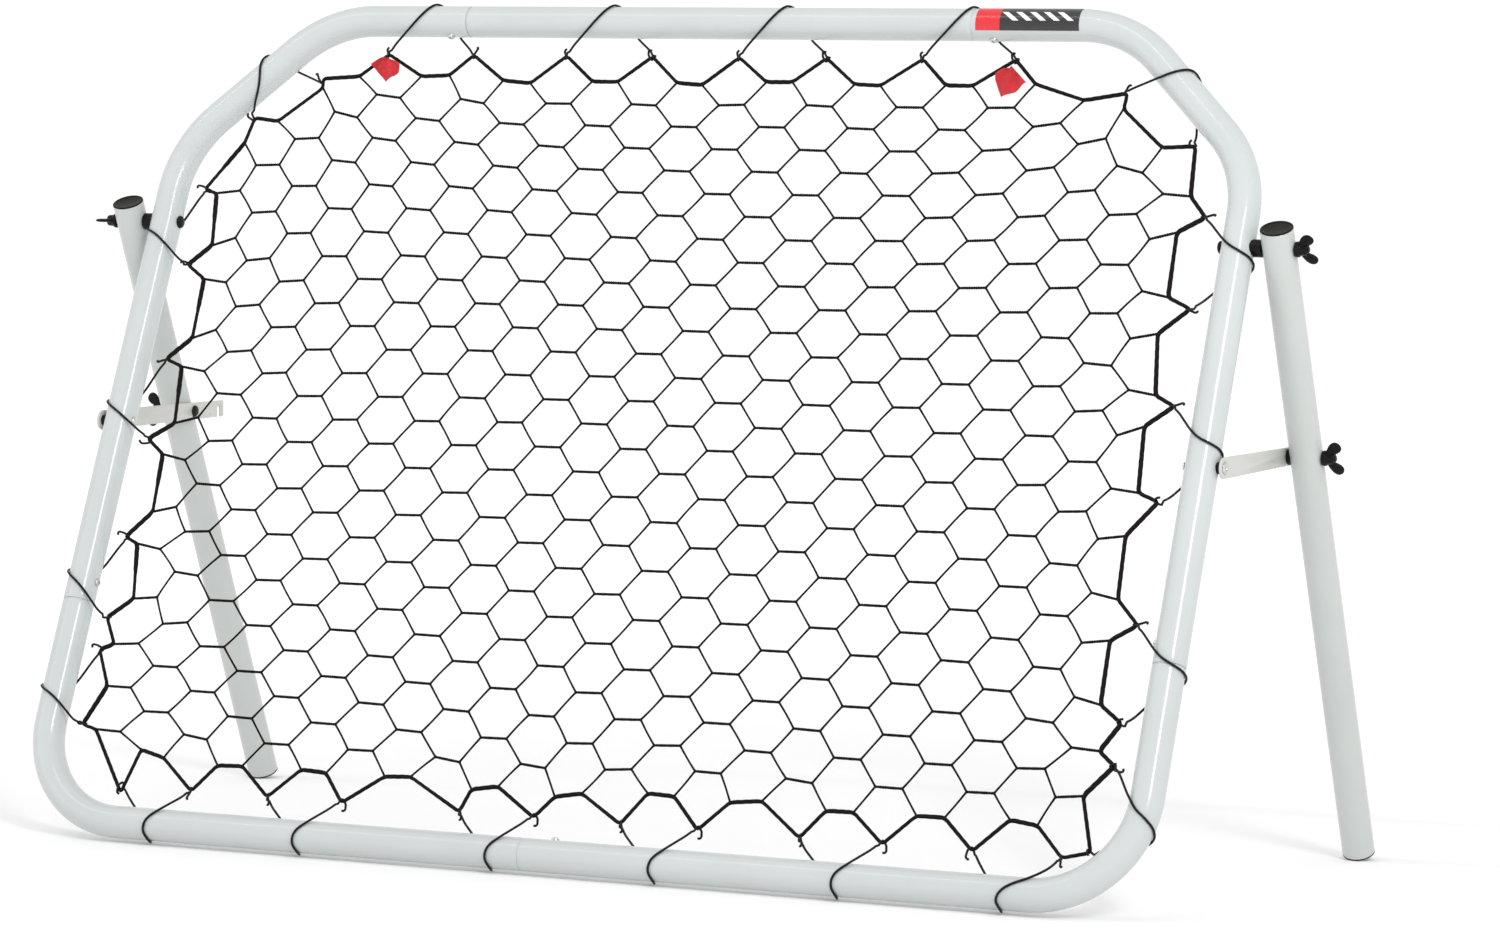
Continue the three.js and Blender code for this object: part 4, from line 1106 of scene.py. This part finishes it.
def threaded(radius, start, end, axes, pitch=0.0010):
    """A screw's end with a helical thread."""
    sides, rings = 20, max(8, round((end - start) / pitch * 5))
    verts = []
    for i in range(rings + 1):
        along = start + (end - start) * i / rings
        fade = min(1, (rings - i) / 4)
        for angle, c, s in circle(sides):
            cut = 0.5 - 0.5 * math.cos(2 * math.pi * along / pitch - angle)
            r = radius - 0.00045 * cut * fade - 0.0006 * (1 - fade)
            verts.append(axes @ Vector((r * c, r * s, along)))
    return verts, capped(rings + 1, sides)


def bolt_end(start, axes):
    """A bolt's shank from `start` out through the leg, and its thread beyond the leg."""
    return join(turned(rod(SHANK_R, start, LEG_OUT), 24, axes),
                threaded(SHANK_R, LEG_OUT, THREAD_END, axes))


def wing(turn, axes):
    """One teardrop wing of a wing nut, lofted from the hub to its rounded tip."""
    spine = [mm(x, z) for x, z in ((2.5, 5.6), (4.6, 6.6), (6.6, 8.1), (8.5, 9.9), (10.2, 11.8),
                                   (11.8, 13.7), (13.2, 15.4), (14.4, 16.8), (15.2, 17.8), (15.6, 18.3))]
    widths = mm(3.2, 3.5, 4.2, 5.1, 5.8, 6.0, 5.6, 4.6, 2.9, 0.9)
    depths = mm(2.6, 2.3, 2.0, 1.9, 1.9, 1.9, 1.8, 1.5, 1.0, 0.3)
    sides = 20
    place = axes @ Matrix.Rotation(turn, 4, "Z")
    verts = []
    for i, (r, z) in enumerate(spine):
        before, after = spine[max(i - 1, 0)], spine[min(i + 1, len(spine) - 1)]
        ahead = Vector((after[0] - before[0], after[1] - before[1])).normalized()
        across = Vector((-ahead.y, ahead.x))
        for _, c, s in circle(sides):
            wide = math.copysign(abs(c) ** 0.85, c) * widths[i]
            verts.append(place @ Vector((r + across.x * wide, s * depths[i], z + across.y * wide)))
    return verts, capped(len(spine), sides)


def wing_nut(side, facing, level, bolt, point, turn):
    """The nut on the outer side of the leg, on the bolt through `point`."""
    axes = outward(facing, point) @ Matrix.Translation((0, 0, LEG_OUT + GAP))
    hub = rounded([(BOLT_R, 0), (0.0074, 0), (0.0076, 0.0035), (0.0060, 0.0052), (0.0056, 0.0112),
                   (0.0048, 0.0120), (BOLT_R, 0.0120), (BOLT_R, 0)], 0.0006)
    nut = join(turned(hub, 32, axes), wing(turn, axes), wing(turn + math.pi, axes))
    piece(f"{side}_{level}_wing_nut", nut, BLACK_PLASTIC, f"{side}_{bolt}_nut",
          f"{side}_{bolt}_wing_nut")


def pivot_set(side, facing):
    """The bolt that the leg folds on, the spacer between frame and leg, and the upper wing nut."""
    axes = outward(facing, PIVOT)
    head = turned(dome_head(radius=0.0065, height=0.0038, at=FRAME_IN - 0.0002), 32, axes)
    piece(f"{side}_pivot_screw", join(head, bolt_end(FRAME_IN - 0.001, axes)), BLACK_STEEL, "frame",
          f"{side}_pivot_bolt")
    spacer = saddle(0.0085, BOLT_R, HALF_W, LEAN * facing, LEG_IN - GAP, axes)
    piece(f"{side}_spacer", spacer, BLACK_PLASTIC, "frame", f"{side}_pivot_spacer")
    wing_nut(side, facing, "upper", "pivot", PIVOT, WING_TURNS[side][0])


def lock_set(side, facing):
    """The bolt that the strap hooks on: its stud and wing nut on the leg, its head on the strap."""
    axes = outward(facing, LOCK)
    # The collar is a sleeve on the stud that spaces the strap off the leg. It is black as painted shade: a
    # dark sleeve standing in for the shadow in the crevice between strap and leg.
    crevice_shade_collar = saddle(0.008, BOLT_R, LEG_X, -LEG_ANGLE * facing, STRAP_OUT + 0.00045, axes)
    piece(f"{side}_lock_screw", join(crevice_shade_collar, bolt_end(STRAP_OUT + 0.00045, axes)), BLACK_STEEL,
          f"{side}_leg", f"{side}_lock_stud")
    wing_nut(side, facing, "lower", "lock", LOCK, WING_TURNS[side][1])
    head = turned(dome_head(radius=0.006, height=0.0028, at=STRAP_IN - GAP), 32, axes)
    stub = turned(rod(SHANK_R, STRAP_IN - 0.0005, STRAP_OUT + 0.00015), 24, axes)
    piece(f"{side}_lock_head", join(head, stub), BLACK_STEEL, f"{side}_strap",
          f"{side}_lock_bolt")


STRAP_RISE = math.atan2(LOCK.z - RIVET.z, LOCK.y - RIVET.y)
LOCK_REACH = math.hypot(LOCK.z - RIVET.z, LOCK.y - RIVET.y)
STRAP_LENGTH = 0.240
STRAP_FRONT_R = 0.010            # half its height at the rivet
STRAP_REAR_H = 0.0085            # half its height at its rear end
NOTCH_R = 0.0034
NOTCH_STEP = 0.050               # from the notch in use to the rear one


def strap_outline():
    """(along, up) round the strap, from the rivet's end, with two notches in its lower edge."""
    points = []
    for k in range(17):
        angle = math.pi / 2 + math.pi * k / 16
        points.append((STRAP_FRONT_R * math.cos(angle), STRAP_FRONT_R * math.sin(angle)))
    for at in (LOCK_REACH, LOCK_REACH + NOTCH_STEP):
        edge = -(STRAP_FRONT_R + (STRAP_REAR_H - STRAP_FRONT_R) * at / STRAP_LENGTH)
        points.append((at - NOTCH_R, edge))
        for k in range(9):
            angle = math.pi - math.pi * k / 8
            points.append((at + NOTCH_R * math.cos(angle), NOTCH_R * math.sin(angle)))
        points.append((at + NOTCH_R, edge))
    corner = 0.0015
    for centre, start in (((STRAP_LENGTH - corner, -STRAP_REAR_H + corner), -90),
                          ((STRAP_LENGTH - corner, STRAP_REAR_H - corner), 0)):
        for k in range(4):
            angle = math.radians(start + 30 * k)
            points.append((centre[0] + corner * math.cos(angle), centre[1] + corner * math.sin(angle)))
    return points


def strap(side, facing):
    """The notched flat bar, its front rivet and the washer between it and the frame."""
    bm = bmesh.new()
    axes = Matrix.Translation((0, RIVET.y, RIVET.z)) @ Matrix.Rotation(STRAP_RISE, 4, "X")
    inner = [bm.verts.new(axes @ Vector((STRAP_IN * facing, a, b))) for a, b in strap_outline()]
    face = bm.faces.new(inner)
    made = bmesh.ops.extrude_face_region(bm, geom=[face])
    moved = [v for v in made["geom"] if isinstance(v, bmesh.types.BMVert)]
    bmesh.ops.translate(bm, verts=moved, vec=(STRAP_T * facing, 0, 0))
    rims = [e for e in bm.edges if abs(e.verts[0].co.x - e.verts[1].co.x) < 1e-6]
    bmesh.ops.bevel(bm, geom=rims, offset=0.0004, segments=2, affect="EDGES", profile=0.5)
    bm.verts.index_update()
    bar = [v.co.copy() for v in bm.verts], [tuple(v.index for v in f.verts) for f in bm.faces]
    bm.free()
    piece(f"{side}_strap_bar", bar, STRAP_PAINT, f"{side}_strap", f"{side}_strap")
    axes = outward(facing, RIVET)
    flange = [(0, 0.0009), (0.0022, 0.0009), (0.0027, 0.0022), (0.0046, 0.0022), (0.0060, 0.0011),
              (0.0060, 0.0002), (0, 0.0002)]
    flange = turned(rounded([(r, STRAP_OUT + d) for r, d in flange], 0.0004), 32, axes)
    shank = turned(rod(SHANK_R, FRAME_IN - 0.001, STRAP_OUT + 0.0005), 24, axes)
    tail = [(0, 0), (0.0045, 0), (0.0045, 0.0008), (0.0036, 0.0019), (0.0016, 0.0019), (0.0013, 0.0012),
            (0, 0.0012)]
    tail = turned(rounded([(r, FRAME_IN - d) for r, d in tail], 0.0004), 32, axes)
    piece(f"{side}_rivet", join(flange, shank, tail), ZINC, "frame", f"{side}_strap_rivet")
    washer = saddle(0.0058, BOLT_R, HALF_W, LEAN * facing, STRAP_IN - GAP, axes)
    piece(f"{side}_saddle_washer", washer, BLACK_PLASTIC, "frame",
          f"{side}_strap_washer")


for side, facing in SIDES:
    leg(side, facing)
    pivot_set(side, facing)
    lock_set(side, facing)
    strap(side, facing)


# -------- floor, light, camera
FLOOR_REACH = 14


def floor():
    """Pale matt floor with a painted glow, weak near the rebounder and stronger far away, standing in for
    the light on a lit studio sweep.
    """
    mesh = bpy.data.meshes.new("floor")
    corners = [(x * FLOOR_REACH, y * FLOOR_REACH, 0) for x, y in ((-1, -1), (1, -1), (1, 1), (-1, 1))]
    mesh.from_pydata(corners, [], [(0, 1, 2, 3)])
    obj = bpy.data.objects.new("floor", mesh)
    bpy.context.scene.collection.objects.link(obj)
    look = Look("floor", (0.85, 0.85, 0.85), 0.9, Emission_Color=(1, 1, 1, 1))
    look.tint(look.noise(3, 2), [(0.3, (0.845, 0.845, 0.845)), (0.7, (0.855, 0.855, 0.855))])
    away = look.node("VectorMath", {0: look.place}, operation="LENGTH")
    # painted glow: the emission grows with distance, so the floor near the rebounder is dimmer
    look.shade(look.spread(away.outputs["Value"], 0.10, 0.34, 0.8, 3.0), "Emission Strength")
    mesh.materials.append(look.material)


def softbox(name, place, aim, size, power):
    """A rectangular area light at `place`, turned towards `aim`."""
    light = bpy.data.lights.new(name, "AREA")
    light.shape = "RECTANGLE"
    light.size, light.size_y = size
    light.energy = power
    obj = bpy.data.objects.new(name, light)
    obj.location = place
    obj.rotation_euler = (Vector(aim) - Vector(place)).to_track_quat("-Z", "Y").to_euler()
    bpy.context.scene.collection.objects.link(obj)


def sky():
    """Plain pale surroundings, brightest at the horizon."""
    world = bpy.data.worlds.new("studio")
    world.use_nodes = True
    nodes, links = world.node_tree.nodes, world.node_tree.links
    direction = nodes.new("ShaderNodeTexCoord").outputs["Generated"]
    parts = nodes.new("ShaderNodeSeparateXYZ")
    links.new(direction, parts.inputs["Vector"])
    shade = nodes.new("ShaderNodeValToRGB")
    low, high = shade.color_ramp.elements
    low.position, low.color = 0.12, (1, 1, 1, 1)
    high.position, high.color = 0.5, (0.80, 0.80, 0.80, 1)
    links.new(parts.outputs["Z"], shade.inputs["Fac"])
    back = nodes["Background"]
    links.new(shade.outputs["Color"], back.inputs["Color"])
    back.inputs["Strength"].default_value = 1.05
    bpy.context.scene.world = world


def studio():
    sky()
    bpy.context.scene.view_settings.view_transform = "Standard"
    softbox("key", (2.8, -2.9, 2.9), (0, 0, 0.4), (0.8, 1.4), 72)
    softbox("fill", (-3.6, -2.6, 1.6), (0, 0, 0.4), (1.6, 2.0), 10)
    softbox("strip", (-2.0, -1.9, 4.0), (-2.0, 0, 0.4), (4.2, 0.14), 24)


def camera():
    """Stands well in front, to the right, a little below the top bar, and looks slightly down."""
    yaw, pitch, roll = math.radians(24.68), math.radians(3.468), math.radians(0.964)
    data = bpy.data.cameras.new("camera")
    data.sensor_width = 36
    data.lens = 125.83
    obj = bpy.data.objects.new("camera", data)
    place = Matrix.Translation((2.229, BASE.y - 4.418, BASE.z + 0.6745))
    level = Matrix.Rotation(yaw, 4, "Z") @ Matrix.Rotation(math.pi / 2 - pitch, 4, "X")
    obj.matrix_world = place @ level @ Matrix.Rotation(roll, 4, "Z")
    bpy.context.scene.collection.objects.link(obj)
    bpy.context.scene.camera = obj


floor()
studio()
camera()
